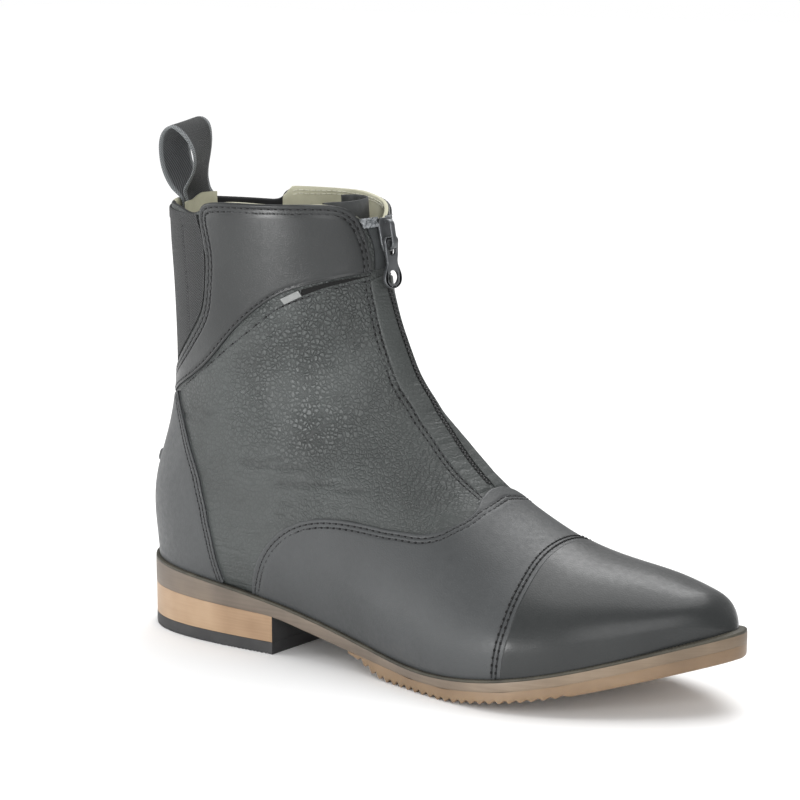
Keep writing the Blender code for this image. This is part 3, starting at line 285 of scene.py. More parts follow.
def closed_curve(points, count):
    """Smooth closed curve through the points, in plan."""
    p = np.array(points, float)
    q = np.vstack([p[-4:], p, p[:5]])
    d = np.concatenate([[0], np.cumsum(np.sqrt(np.linalg.norm(np.diff(q, axis=0), axis=1)))])
    t = np.linspace(d[4], d[4 + len(p)], count, endpoint=False)
    return np.stack([spline(d, q[:, 0], t), spline(d, q[:, 1], t)], 1)


def inset(curve, margin):
    """The closed curve moved inwards by a margin, one value or one per point."""
    along = np.roll(curve, -1, 0) - np.roll(curve, 1, 0)
    inward = unit(np.stack([-along[:, 1], along[:, 0]], 1))
    return curve + inward * np.broadcast_to(margin, len(curve))[:, None]


def side_edges(curve, x):
    """The lateral and the medial y of a closed curve at x."""
    c = np.roll(curve, -np.argmin(curve[:, 0]), 0)
    tip = np.argmax(c[:, 0])
    medial = np.vstack([c[tip:], c[:1]])[::-1]
    return np.interp(x, c[: tip + 1, 0], c[: tip + 1, 1]), np.interp(x, medial[:, 0], medial[:, 1])


EDGE = closed_curve(OUTLINE, 3600)
FEATHER = inset(EDGE, 2.2 + 2.0 * smooth((EDGE[:, 0] - 250) / 40))
TIP_X = FEATHER[:, 0].max()
HEEL_X = FEATHER[:, 0].min()

FOOT = [  # base_x, crown_x, crown_z, lateral, medial, belly, lean; a width of 0 follows the sole edge
    (TIP_X, TIP_X, 0, 0, 0, 2, 0),
    (TIP_X - 0.6, TIP_X - 1.5, 37.3, 0, 0, 2.5, 0),
    (TIP_X - 2.4, TIP_X - 4.2, 41.2, 0, 0, 4, 0),
    (TIP_X - 6.5, TIP_X - 8.3, 45.3, 0, 0, 6, 0),
    (TIP_X - 16, TIP_X - 17.5, 48.6, 0, 0, 8, 0),
    (255, 252, 52.8, 0, 0, 9, 0.02),
    (228, 224, 57.6, 0, 0, 11, 0.05),
    (203, 198.5, 66.4, -46, 46, 12, 0.08),
    (179, 177.5, 78.3, -45, 44, 14, 0.09),
    (150, 165.8, 88, -41, 39, 20, 0.08),
    (110, 157.6, 96.5, -37, 36, 28, 0.06),
    (75, 151.6, 103.6, -35.5, 35, 34, 0.05),
    (45, 146.5, 109.7, -34.5, 34, 38, 0.04),
    (20, 142.9, 115, -34, 34, 42, 0.03),
    (6, 139.6, 119, -34, 34, 46, 0.02),
    (HEEL_X, 136.7, 123, -34, 34, 50, 0.02),
]
SHAFT = [  # base_x, base_z, crown_x, crown_z, lateral, medial, belly
    (-3.4, 46, 132.3, 131.5, -34, 34, 54),
    (-2.6, 62, 128.4, 140.5, -33.5, 33.5, 55),
    (4.4, 85, 124.6, 151.5, -33, 33, 56),
    (10.0, 110, 121.6, 163.5, -33.5, 33.5, 55),
    (11, 135, 120.5, 175, -35, 35, 53),
    (10.5, 160, 119, 184.5, -36.5, 36.5, 52),
    (9.5, 181, 118, 192, -37.5, 37.5, 52),
    (9.5, 196, 117.5, 197, -38, 38, 52),
]


def seat(x):
    """Height of the upper's base."""
    return table(SOLE_TOP, x) - SEAT


def section(edge, wide, crown, belly, height, lean, ridge, up):
    """Heights, y and run of one side: the wall's y at each height up, then over to the crown."""
    b = np.linspace(0, np.pi / 2, 60)[1:]
    over = belly + (height - belly) * np.sin(b)
    back = crown + (wide - crown) * np.cos(b) ** (1 + ridge) * (1 - lean * np.sin(2 * b) ** 2)
    h = np.concatenate([up, over])
    y = np.concatenate([edge, back])
    run = np.concatenate([[0], np.cumsum(np.hypot(np.diff(h), np.diff(y)))])
    return h, y, run / max(run[-1], 1e-9)


def last_grid(foot_rows, shaft_rows, columns):
    """Points of the last, one row per section, and each row's along value.

    Each section lies in a plane that holds Y and runs from a base point, on the sole edge and then up the
    back, to the crown; its sides follow the sole edge up to the belly and an ellipse from there over.
    """
    foot = np.array(FOOT, float)
    foot = np.insert(foot, 1, seat(foot[:, 0]), axis=1)
    shaft = np.column_stack([SHAFT, np.zeros(len(SHAFT))])
    n = len(foot)
    base_x, base_z, crown_x, crown_z, lateral, medial, belly, lean = np.vstack([foot, shaft]).T.copy()
    crown_z[0] = base_z[0]
    # along weighs the crown's length and the base's length
    steps = 0.6 * np.hypot(np.diff(crown_x), np.diff(crown_z))
    steps += 0.4 * np.hypot(np.diff(base_x), np.diff(base_z))
    k = np.concatenate([[0], np.cumsum(steps)])
    heel = k[n - 1]
    s = np.concatenate([np.linspace(0, heel, foot_rows), np.linspace(heel, k[-1], shaft_rows + 1)[1:]])
    on_foot = s <= heel
    x = np.where(on_foot, spline(k[:n], base_x[:n], s, True), spline(k[n - 1 :], base_x[n - 1 :], s))
    x = np.where(on_foot, np.clip(x, HEEL_X, TIP_X), x)
    z = np.where(on_foot, seat(x), spline(k[n - 1 :], base_z[n - 1 :], s))
    top_x = spline(k, crown_x, s, True)
    top_z = spline(k, crown_z, s)
    top_z[0] = z[0]
    edge = np.where(on_foot, side_edges(FEATHER, x), 0)
    first = int(np.argmax(lateral != 0))
    blend = smooth((s - k[first - 1]) / (k[first + 1] - k[first - 1]))
    # the toe's walls swell over the feather line, and wide sections take over behind it
    swell = 1.3 * np.clip(s / 12, 0, 1)
    wide = np.stack([spline(k[first:], lateral[first:], s), spline(k[first:], medial[first:], s)])
    wide[0] = (edge[0] - swell) * (1 - blend) + np.minimum(wide[0], edge[0] - 0.3) * blend
    wide[1] = (edge[1] + swell) * (1 - blend) + np.maximum(wide[1], edge[1] + 0.3) * blend
    crown_y = straight(CROWN_Y, top_x)
    crown_y[0] = edge[0, 0]
    edge[1, 0] = edge[0, 0]
    wide[:, 0] = edge[0, 0]
    height = np.hypot(top_x - x, top_z - z)
    belly = np.minimum(spline(k, belly, s), 0.5 * height)
    bulge = smooth((s - k[n - 6]) / (heel - k[n - 6]))
    lean = spline(k, lean, s)
    ridge = np.stack([0 * s, straight(RIDGE, top_x)])
    q = np.linspace(0, 1, 60)
    u = np.linspace(0, 1, columns // 2 + 1)
    grid = np.zeros((len(s), columns, 3))
    extra = [0, 0]
    for i in range(len(s)):
        part = (1 - bulge[i]) * q + bulge[i] * (1 - np.cos(np.pi * q / 2))
        ahead = np.clip(x[i] + (top_x[i] - x[i]) * part * belly[i] / max(height[i], 1e-9), HEEL_X, TIP_X)
        walls = side_edges(FEATHER, ahead)
        sides = []
        for side in (0, 1):
            wall = edge[side, i] + (wide[side, i] - edge[side, i]) * np.sin(np.pi * q / 2)
            if on_foot[i] and i > 0:
                swing = walls[side] + (wide[side, i] - walls[side][-1]) * (1 - (1 - part) ** 2)
                extra[side] = swing - wall
            wall = wall + extra[side] * (1 - smooth((s[i] - heel) / 40))
            up = part * belly[i]
            shape = belly[i], height[i], lean[i], ridge[side, i]
            h, y, run = section(wall, wide[side, i], crown_y[i], *shape, up)
            sides.append((np.interp(u, run, h), np.interp(u, run, y)))
        h = np.concatenate([sides[0][0], sides[1][0][-2::-1]]) / max(height[i], 1e-9)
        grid[i, :, 0] = x[i] + (top_x[i] - x[i]) * h
        grid[i, :, 1] = np.concatenate([sides[0][1], sides[1][1][-2::-1]])
        grid[i, :, 2] = z[i] + (top_z[i] - z[i]) * h
    return grid, s / k[-1], heel / k[-1]


def ease_heel_line(grid, row, step):
    """Takes the fold out of the sides along the section through the heel.

    The squared half width has a jump of slope across that section; a bell of width EASE_BAND cancels it.
    """
    middle = grid.shape[1] // 2
    start = grid[row, 0, ::2]
    run = grid[row, middle, ::2] - start
    length = np.hypot(*run)
    run = run / length
    rel = grid[..., ::2] - start
    h = rel @ run
    n = rel @ np.array([-run[1], run[0]])
    half = (grid[..., 1] - grid[:, middle : middle + 1, 1]) ** 2
    bell = np.clip(EASE_BAND - np.abs(n), 0, None) ** 2 / (4 * EASE_BAND)
    bell = bell * smooth(12 * (1 - np.abs(np.linspace(-1, 1, grid.shape[1]))))
    station = np.linspace(0.03, 0.94, 70) * length
    for side in (slice(0, middle + 1), slice(None, middle - 1, -1)):
        at = {k: np.interp(station, h[row + k, side], half[row + k, side]) for k in (-step, 0, step)}
        off = {k: np.interp(station, h[row + k, side], n[row + k, side]) for k in (-step, step)}
        jump = ((at[step] - at[0]) / off[step] - (at[0] - at[-step]) / -off[-step]) / at[0]
        jump = jump * smooth(station / (0.1 * length))
        jump = level_run(jump, 5)
        grow = np.exp(np.interp(h[:, side], station, jump) * bell[:, side])
        centre = grid[:, middle : middle + 1, 1]
        grid[:, side, 1] = centre + (grid[:, side, 1] - centre) * np.sqrt(grow)


LAST, ALONG, HEEL_ALONG = last_grid(321, 160, 321)
ease_heel_line(LAST, 320, 6)


def last_normals():
    """Outward unit normals of the last's grid."""
    n = np.cross(np.gradient(LAST, axis=1), np.gradient(LAST, axis=0))
    n /= np.linalg.norm(n, axis=2)[..., None] + 1e-12
    up = ALONG >= HEEL_ALONG
    for column, turn in ((0, 1), (-1, -1)):
        run = np.gradient(LAST[~up, column], axis=0)
        n[~up, column] = np.stack([-run[:, 1] * turn, run[:, 0] * turn, 0 * run[:, 0]], 1)
    n[0] = (1, 0, 0)
    seam = n[up, 0] + n[up, -1]
    n[up, 0] = seam
    n[up, -1] = seam
    return n / (np.linalg.norm(n, axis=2)[..., None] + 1e-12)


NORMAL = last_normals()
HALF_ARC = np.linalg.norm(np.diff(LAST, axis=1), axis=2).sum(1) / 2


def half_arc(along):
    """Length of the last's section from its base to the crown."""
    return np.interp(along, ALONG, HALF_ARC)


def on_last(along, across, out=0.0):
    """Points of the last at (along, across), moved out along its normal: bilinear in the grid."""
    along = np.asarray(along, float)
    across = np.asarray(across, float)
    i = np.clip(np.interp(along, ALONG, np.arange(len(ALONG))), 0, len(ALONG) - 1.000001)
    j = np.clip((across + 1) / 2 * (LAST.shape[1] - 1), 0, LAST.shape[1] - 1.000001)
    a = (i % 1)[..., None]
    b = (j % 1)[..., None]
    i = i.astype(int)
    j = j.astype(int)

    def mix(g):
        first = g[i, j] * (1 - b) + g[i, j + 1] * b
        return first * (1 - a) + (g[i + 1, j] * (1 - b) + g[i + 1, j + 1] * b) * a

    return mix(LAST) + unit(mix(NORMAL)) * np.broadcast_to(np.asarray(out, float), along.shape)[..., None]


def laid(st, out=0.0):
    """Points of the last at a line or grid of (along, across)."""
    return on_last(st[..., 0], st[..., 1], out)


def along_path(rows, at):
    """Points at fractions of the length of a smooth curve through a table's rows."""
    p = np.array(rows, float)
    scale = np.array([400.0, 150.0]) if np.abs(p).max() <= 1 else np.ones(2)
    d = run_length(p * scale)
    t = np.asarray(at, float) * d[-1]
    return np.stack([spline(d, p[:, 0], t), spline(d, p[:, 1], t)], 1)


def mirrored(g):
    """The same curve or grid on the other side."""
    return np.asarray(g, float) * (1, -1)


def fractions(length, step, near_start=True, near_end=True):
    """Fractions from 0 to 1 of a length: fine at a cut edge, then even steps."""
    near = np.array([0, 0.1, 0.25, 0.45, 0.75, 1.15, 1.65, 2.2, 2.9, 3.7, 4.6])
    first = near if near_start else near[:1]
    last = near if near_end else near[:1]
    inner = max(length - first[-1] - last[-1], step)
    middle = first[-1] + np.linspace(0, inner, int(inner / step) + 2)[1:-1]
    return np.concatenate([first, middle, (length - last)[::-1]]) / length


def even_stops(points, step):
    """Length along a line of points, and stops on it at even steps, half a step in from its ends."""
    d = run_length(points)
    count = max(int(round(d[-1] / step)), 2)
    return d, (np.arange(count) + 0.5) * d[-1] / count


def sampled(at, d, line):
    """A line's columns at lengths along it."""
    return np.stack([np.interp(at, d, v) for v in line.T], 1)


def eased(line, weights):
    """A line's points averaged over their neighbours with these weights; its ends stay."""
    weights = weights / weights.sum()
    half = len(weights) // 2
    padded = [np.pad(v, half, "reflect", reflect_type="odd") for v in line.T]
    return np.stack([np.convolve(v, weights, "valid") for v in padded], 1)


def even_path(st, step):
    """A curve on the last at even steps of real length.

    Gives its (along, across), points, directions and normals.
    """
    d, at = even_stops(laid(st), step)
    st = sampled(at, d, st)
    p = laid(st)
    normal = laid(st, 1.0) - p
    run = np.gradient(p, axis=0)
    run -= (run * normal).sum(1)[:, None] * normal
    return st, p, unit(run), normal


def distance_to(points, line):
    """Each point's distance to the nearest of a line's points."""
    flat = points.reshape(-1, 3)
    out = np.empty(len(flat))
    for start in range(0, len(flat), 6000):
        block = flat[start : start + 6000]
        square = (block**2).sum(1)[:, None] + (line**2).sum(1) - 2 * block @ line.T
        out[start : start + 6000] = np.sqrt(np.clip(square.min(1), 0, None))
    return out.reshape(points.shape[:-1])


def dense(rows, step=0.3):
    """Points of the last along a table's curve, close together."""
    st = along_path(rows, np.linspace(0, 1, 400)) if isinstance(rows, list) else rows
    return even_path(st, step)[1]


def linear(code):
    """An sRGB hex colour as linear red, green, blue and alpha."""
    c = np.array([int(code[i : i + 2], 16) for i in (1, 3, 5)]) / 255
    c = np.where(c <= 0.04045, c / 12.92, ((c + 0.055) / 1.055) ** 2.4)
    return (*c.tolist(), 1.0)


def node(tree, kind, settings=None, inputs=None):
    """Adds a node, sets its properties, and sets each input to a value or links it to an output."""
    n = tree.nodes.new(kind)
    for key, value in (settings or {}).items():
        setattr(n, key, value)
    for key, value in (inputs or {}).items():
        if isinstance(value, bpy.types.NodeSocket):
            tree.links.new(value, n.inputs[key])
        else:
            n.inputs[key].default_value = value
    return n


def new_material(name, **values):
    """A material with its Principled shader's constant sockets set; gives the material, tree and shader."""
    m = bpy.data.materials.new(name)
    m.use_nodes = True
    shader = m.node_tree.nodes["Principled BSDF"]
    for key, value in values.items():
        shader.inputs[key.replace("_", " ")].default_value = value
    return m, m.node_tree, shader


def ramp(tree, source, stops, codes):
    """A colour ramp on a value: hex colours at their stops."""
    n = node(tree, "ShaderNodeValToRGB", None, {"Fac": source})
    while len(n.color_ramp.elements) < len(stops):
        n.color_ramp.elements.new(0.5)
    for element, at, code in zip(n.color_ramp.elements, stops, codes):
        element.position = at
        element.color = linear(code)
    return n.outputs["Color"]


def object_point(tree):
    """The point on the piece, in metres."""
    return node(tree, "ShaderNodeTexCoord").outputs["Object"]


def noise(tree, at, scale, detail, output="Fac"):
    """A noise texture's value, or its colour."""
    inputs = {"Vector": at, "Scale": scale, "Detail": detail}
    return node(tree, "ShaderNodeTexNoise", None, inputs).outputs[output]


def maths(tree, operation, *inputs):
    """A maths node's value."""
    return node(tree, "ShaderNodeMath", {"operation": operation}, dict(enumerate(inputs))).outputs[0]


def mapped(tree, value, source, target=(0.0, 1.0), kind="LINEAR"):
    """A value carried from the source span to the target span and held at its ends."""
    ends = dict(zip(("From Min", "From Max", "To Min", "To Max"), (*source, *target)))
    settings = {"interpolation_type": kind}
    return node(tree, "ShaderNodeMapRange", settings, {"Value": value, **ends}).outputs[0]


def mixed_colour(tree, share, first, second):
    """Two colours mixed by a share of the second."""
    inputs = {"Factor": share, 6: first, 7: second}
    return node(tree, "ShaderNodeMix", {"data_type": "RGBA"}, inputs).outputs[2]


def link_surface(tree, shader, colour, height, strength, depth, rough=None):
    """Links a surface's colour, its relief with a depth in metres, and its roughness to the shader."""
    bump = node(tree, "ShaderNodeBump", None, {"Strength": strength, "Distance": depth, "Height": height})
    tree.links.new(colour, shader.inputs["Base Color"])
    tree.links.new(bump.outputs[0], shader.inputs["Normal"])
    if rough is not None:
        tree.links.new(rough, shader.inputs["Roughness"])


MOTTLE = (0.3, 0.7)  # stops of a mottled colour on a noise


def smooth_leather(name, codes, rough, coat, shine):
    """Corrected-grain box leather, dyed black and polished: fine pores that break up its soft highlights."""
    m, tree, shader = new_material(name, Coat_Weight=coat, Coat_Roughness=0.27, Specular_IOR_Level=shine)
    at = object_point(tree)
    # pores of about 0.7 mm, drawn coarser than the real 0.2 mm so that they show
    pores = node(tree, "ShaderNodeTexVoronoi", None, {"Vector": at, "Scale": 1400.0}).outputs["Distance"]
    fine = noise(tree, at, 420.0, 4.0)
    colour = ramp(tree, noise(tree, at, 22.0, 3.0), MOTTLE, codes)
    gloss = mapped(tree, fine, (0.3, 0.7), (rough, rough + 0.14))
    link_surface(tree, shader, colour, maths(tree, "ADD", pores, fine), 0.4, 0.00014, gloss)
    return m


def tumbled_leather():
    """Milled full-grain leather: rounded pebbles with dark fine valleys, strongest in front of the ankle.

    Where the pebbles fade, fine level wrinkles take over. The dark of the valleys and of the crease troughs
    is painted shade.
    """
    m, tree, shader = new_material("tumbled_leather", IOR=1.5)
    at = object_point(tree)
    grain = node(tree, "ShaderNodeAttribute", {"attribute_name": "grain"}).outputs["Fac"]
    # share of painted shade along the crease troughs, stored on the shell
    crease_shade = node(tree, "ShaderNodeAttribute", {"attribute_name": "crease_shade"}).outputs["Fac"]
    bent = node(tree, "ShaderNodeVectorMath", {"operation": "MULTIPLY_ADD"}, {
        0: noise(tree, at, 260.0, 2.0, "Color"), 1: (0.0024, 0.0024, 0.0024), 2: at}).outputs[0]
    # pebbles of about 2 mm, domes between thin valleys, in patches of some 25 mm
    cells = node(tree, "ShaderNodeTexVoronoi", {"feature": "DISTANCE_TO_EDGE"}, {
        "Vector": bent, "Scale": 540.0}).outputs["Distance"]
    share = mapped(tree, noise(tree, at, 40.0, 1.0), (0.35, 0.6), (0.45, 1.0))
    depth = maths(tree, "MULTIPLY", share, grain)
    dome = mapped(tree, cells, (-0.03, 0.28), kind="SMOOTHERSTEP")
    pebbles = maths(tree, "MULTIPLY", dome, depth)
    # wrinkles of about 1.7 mm, some 15 mm long
    flat = node(tree, "ShaderNodeMapping", None, {
        "Vector": bent, "Rotation": (0.0, 0.12, 0.0), "Scale": (65.0, 65.0, 600.0)}).outputs[0]
    plain = mapped(tree, grain, (0.0, 1.0), (2.2, 0.1))
    height = maths(tree, "MULTIPLY_ADD", noise(tree, flat, 1.0, 2.5), plain, pebbles)
    # painted shade: the colour darkens in the pebbles' valleys and in the crease troughs
    valley_shade = maths(tree, "MULTIPLY", mapped(tree, cells, (0.0, 0.12), (0.72, 0.0)), depth)
    painted_shade = maths(tree, "MULTIPLY_ADD", crease_shade, 0.4, valley_shade)
    colour = ramp(tree, noise(tree, at, 25.0, 3.0), MOTTLE, ("#313433", "#3c403f"))
    # the near-black that the painted shade mixes into the colour
    colour = mixed_colour(tree, painted_shade, colour, linear("#121414"))
    link_surface(tree, shader, colour, height, 0.9, 0.0004, mapped(tree, dome, (0.0, 1.0), (0.6, 0.44)))
    return m


def soft_finish(name, codes, rough, scale_mm, depth_mm, **values):
    """A finish with a mottled colour and an even fine relief of one size.

    It serves lining, thread, rubber, enamel and film.
    """
    m, tree, shader = new_material(name, Roughness=rough, **values)
    at = object_point(tree)
    colour = ramp(tree, noise(tree, at, 120.0, 4.0), MOTTLE, codes)
    link_surface(tree, shader, colour, noise(tree, at, 1000.0 / scale_mm, 3.0), 0.6, depth_mm / 1000)
    return m


def streaked(name, codes, rough, layer_mm, share, toe_codes=None, **values):
    """A sanded and waxed edge: thin level streaks round the sole over a mottled ground.

    share is the weight of the streaks; toe_codes, if given, take over from the codes towards the toe.
    """
    m, tree, shader = new_material(name, Roughness=rough, **values)
    at = object_point(tree)
    flat = node(tree, "ShaderNodeMapping", None, {"Vector": at, "Scale": (30, 30, 1000 / layer_mm)})
    streak = noise(tree, flat.outputs[0], 1.0, 5.0)
    both = maths(tree, "MULTIPLY_ADD", streak, share, noise(tree, at, 40.0, 3.0))
    stops = [0.5 + 0.5 * share + d for d in (-0.25, 0, 0.25)]
    colour = ramp(tree, both, stops, codes)
    if toe_codes:
        x = node(tree, "ShaderNodeSeparateXYZ", None, {0: at}).outputs[0]
        ahead = mapped(tree, x, (0.0, 0.1), kind="SMOOTHSTEP")
        colour = mixed_colour(tree, ahead, colour, ramp(tree, both, stops, toe_codes))
    link_surface(tree, shader, colour, streak, 0.4, 0.0002 * share)
    return m


def woven(name, codes, rib_mm, pitch_mm, slant, depth_mm, edge_code=None, half_width=0.0):
    """Herringbone weave on the piece's own map in millimetres.

    A thread's height is the sine of (v + slant * distance to the nearest rib line of u). The colour follows
    the height: the yarn's own dark tones, with painted shade making the low parts of the weave darker.
    The edge may be paler.
    """
    m, tree, shader = new_material(name, Roughness=0.85, Sheen_Weight=0.1, Sheen_Roughness=0.5)
    uv = node(tree, "ShaderNodeUVMap", {"uv_map": "weave"}).outputs[0]
    u, v = node(tree, "ShaderNodeSeparateXYZ", None, {0: uv}).outputs[:2]
    zigzag = maths(tree, "PINGPONG", maths(tree, "ADD", u, half_width), rib_mm)
    phase = maths(tree, "MULTIPLY_ADD", zigzag, slant, v)
    wave = maths(tree, "SINE", maths(tree, "MULTIPLY", phase, 2 * math.pi / pitch_mm))
    high = mapped(tree, wave, (-1.0, 1.0))
    # painted shade: the ramp gives the low parts of the weave the darker colour
    colour = ramp(tree, high, (0.15, 0.85), codes)
    if edge_code:
        rim = mapped(tree, maths(tree, "ABSOLUTE", u), (half_width - 2.2, half_width - 1.9))
        braid = ramp(tree, high, (0.1, 0.6), (codes[1], edge_code))
        colour = mixed_colour(tree, rim, colour, braid)
    link_surface(tree, shader, colour, high, 0.9, depth_mm / 1000)
    return m


AMBER = ("#6b5640", "#7a644c", "#88725a")
SELVEDGE = ("#85898b", 10.5)  # colour, and half the webbing's width
LOOKS = {
    # box leather of vamp, counter, guard and spur rest: corrected grain, dyed through, lightly waxed
    "smooth": smooth_leather("box_leather", ("#333536", "#3d3f40"), 0.42, 0.05, 0.45),
    # the same leather on toe cap and collar panels, brushed to a polish
    "panel": smooth_leather("polished_leather", ("#1d1f20", "#272929"), 0.38, 0.35, 0.25),
    # full-grain leather of quarters and facings, softened in the drum
    "tumbled": tumbled_leather(),
    # pigskin lining, undyed: pale, matt, finely pitted
    "lining": soft_finish("pigskin_lining", ("#b3b19a", "#c5c3ad"), 0.85, 0.8, 0.2),
    # twisted thread of the lining's seams, undyed
    "lining_thread": soft_finish("pale_thread", ("#c9c8b6", "#d8d7c8"), 0.8, 0.3, 0.05),
    # waxed polyester thread, dyed with the leather
    "thread": soft_finish("waxed_thread", ("#1b1c1e", "#28292b"), 0.5, 0.3, 0.05),
    # rubber threads woven into black yarn in narrow herringbone ribs
    "elastic": woven("boot_elastic", ("#0a0b0c", "#2b2d2e"), 1.9, 1.2, 1.0, 0.4),
    # the plain back of the same elastic
    "elastic_inside": soft_finish("elastic_backing", ("#0e0f11", "#18191b"), 0.9, 0.5, 0.1),
    # nylon webbing in herringbone, with a paler braided selvedge; its inside is a plain twill
    "webbing": woven("nylon_webbing", ("#101213", "#26292a"), 1.0, 0.9, 0.9, 0.22, *SELVEDGE),
    "webbing_inside": woven("nylon_webbing_inside", ("#161819", "#636668"), 30.0, 1.15, 0.9, 0.2, *SELVEDGE),
    # knitted polyester tape of the zip
    "tape": soft_finish("zip_tape", ("#2a2d2e", "#3a3d3e"), 0.85, 0.5, 0.1),
    # die-cast slider and tab under a thin dark enamel, which shines grey
    "metal": soft_finish("black_enamel", ("#484a4c", "#606264"), 0.36, 1.5, 0.03, Metallic=0.6),
    # nylon wire, wound and pressed into teeth
    "coil": soft_finish("nylon_coil", ("#0c0d0e", "#151617"), 0.45, 0.4, 0.04),
    # clear plastic film on the zip's cut ends
    "film": soft_finish("clear_film", ("#6f7376", "#9a9da0"), 0.12, 0.9, 0.25, Alpha=0.75),
    # midsole edge, sanded, stained grey-brown and waxed; paler towards the toe
    "band": streaked("waxed_midsole", ("#51473d", "#61564b", "#706355"), 0.5, 0.9, 0.4,
                     ("#665746", "#756553", "#837361")),
    # heel block with the level streaks of stacked leather, sanded and waxed
    "heel": streaked("stacked_heel", ("#866b50", "#957a5e", "#a3896d"), 0.45, 0.7, 0.3),
    # crepe-coloured rubber, slightly see-through
    "amber": streaked("amber_rubber", AMBER, 0.42, 3.0, 0.2,
                      Subsurface_Weight=0.2, Subsurface_Radius=(0.003, 0.002, 0.001), Subsurface_Scale=1.0),
    # moulded rubber of the heel lift, matt
    "lift": soft_finish("black_rubber", ("#262627", "#323233"), 0.65, 0.6, 0.12),
    # leather welt, stained dark and waxed
    "welt": soft_finish("waxed_welt", ("#29271f", "#454136"), 0.6, 0.6, 0.15),
    # woven grey ribbon of the tag
    "tag": soft_finish("grey_ribbon", ("#6a6c6b", "#808281"), 0.6, 0.4, 0.08),
    # painted shade: a near-black finish for the shadowed inside of a slit and of a needle hole
    "dark": soft_finish("painted_hole_shade", ("#040404", "#070707"), 0.95, 0.6, 0.1),
    # pale leather of the insole
    "insole": soft_finish("pale_insole", ("#b3ad97", "#c5c0ab"), 0.8, 0.9, 0.15),
}


def sheet_faces(rows, columns, start=0):
    """Quads of a grid whose first point has index start."""
    i, j = np.meshgrid(np.arange(rows - 1), np.arange(columns - 1), indexing="ij")
    a = (start + i * columns + j).ravel()
    return np.stack([a, a + 1, a + columns + 1, a + columns], 1)


def border(rows, columns):
    """Indices round the edge of a grid, in order."""
    g = np.arange(rows * columns).reshape(rows, columns)
    return np.concatenate([g[0, :-1], g[:-1, -1], g[-1, :0:-1], g[:0:-1, 0]])


def ring_faces(rings, count):
    """Quads of a tube of rings with count points each."""
    i, j = np.meshgrid(np.arange(rings - 1), np.arange(count), indexing="ij")
    first = i * count + j
    after = i * count + (j + 1) % count
    return np.stack([first, after, after + count, first + count], 2).reshape(-1, 4)


def first_sheet_look(shape, look):
    """Look numbers of a slab's faces: these on its first sheet and 0 on the rest."""
    n, m = shape[:2]
    looks = np.zeros(2 * (n - 1) * (m - 1) + 2 * (n + m - 2), int)
    looks[: (n - 1) * (m - 1)] = look
    return looks


def placed(name, data):
    """An object of the data, linked into the scene."""
    obj = bpy.data.objects.new(name, data)
    bpy.context.scene.collection.objects.link(obj)
    return obj


def piece(name, points, faces, looks, replaces=(), uv=None, face_look=None, values=None, crease=None):
    """A closed piece of the boot from points in millimetres and quads.

    Points that coincide are merged, flat quads become triangles, and the sign of the volume turns all faces
    outwards. uv and values hold one row per point.
    """
    points = np.asarray(points, float).reshape(-1, 3)
    # the shift keeps round values off a step's edge
    key = np.floor(points * MERGE_STEPS + 0.31).astype(np.int64)
    _, first, back = np.unique(key, axis=0, return_index=True, return_inverse=True)
    faces = back.reshape(-1)[np.asarray(faces)]
    points = points[first]
    same = faces == np.roll(faces, -1, axis=1)
    face_look = np.zeros(len(faces), int) if face_look is None else np.asarray(face_look)
    whole = ~same.any(1) & (faces[:, 0] != faces[:, 2]) & (faces[:, 1] != faces[:, 3])
    flat = same.sum(1) == 1
    quads = faces[whole]
    tris = faces[flat][~same[flat]].reshape(-1, 3)
    a, b, c, d = (points[quads[:, k]] for k in range(4))
    volume = (np.cross(b, c) * a).sum() + (np.cross(c, d) * a).sum()
    if len(tris):
        e, f, g = (points[tris[:, k]] for k in range(3))
        volume += (np.cross(f, g) * e).sum()
    if volume < 0:
        quads = quads[:, ::-1]
        tris = tris[:, ::-1]
    mesh = bpy.data.meshes.new(name)
    mesh.from_pydata(((points - ORIGIN) / 1000).tolist(), [], quads.tolist() + tris.tolist())
    for look in looks:
        mesh.materials.append(LOOKS[look])
    shown = np.concatenate([face_look[whole], face_look[flat]]).astype(np.int32)
    mesh.polygons.foreach_set("material_index", shown)
    if uv is not None:
        corner = np.empty(len(mesh.loops), np.int32)
        mesh.loops.foreach_get("vertex_index", corner)
        layer = mesh.uv_layers.new(name="weave")
        spread = np.asarray(uv, float).reshape(-1, 2)[first][corner]
        layer.data.foreach_set("uv", spread.ravel().astype(np.float32))
    for label, value in (values or {}).items():
        store = mesh.attributes.new(label, "FLOAT", "POINT")
        store.data.foreach_set("value", np.asarray(value, float).ravel()[first].astype(np.float32))
    mesh.shade_smooth()
    if crease:
        mesh.set_sharp_from_angle(angle=math.radians(crease))
    mesh.update()
    obj = placed(name, mesh)
    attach(obj, "boot")
    if replaces:
        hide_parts(*replaces)
    return obj


def slab(name, outer, inner, looks, **rest):
    """A solid between two grids of the same shape, with walls round the edge."""
    rows, columns = outer.shape[:2]
    count = rows * columns
    edge = border(rows, columns)
    after = np.roll(edge, -1)
    walls = np.stack([edge, after, after + count, edge + count], 1)
    faces = np.vstack([sheet_faces(rows, columns), sheet_faces(rows, columns, count)[:, ::-1], walls])
    piece(name, np.vstack([outer.reshape(-1, 3), inner.reshape(-1, 3)]), faces, looks, **rest)


def ripple(points, size):
    """Slight unevenness of hand-lasted leather: a sum of slow waves over the surface, size in mm."""
    x, y, z = np.moveaxis(points, -1, 0)
    waves = np.sin(0.083 * x + 0.061 * z + 0.4) * np.sin(0.071 * z - 0.045 * x + 0.03 * y)
    return size * (waves + 0.6 * np.sin(0.16 * x - 0.11 * z + 0.08 * y + 1.3))


def ruled(first, second, weights):
    """Grid of (along, across) between two curves."""
    w = np.asarray(weights)[:, None, None]
    return first * (1 - w) + second * w


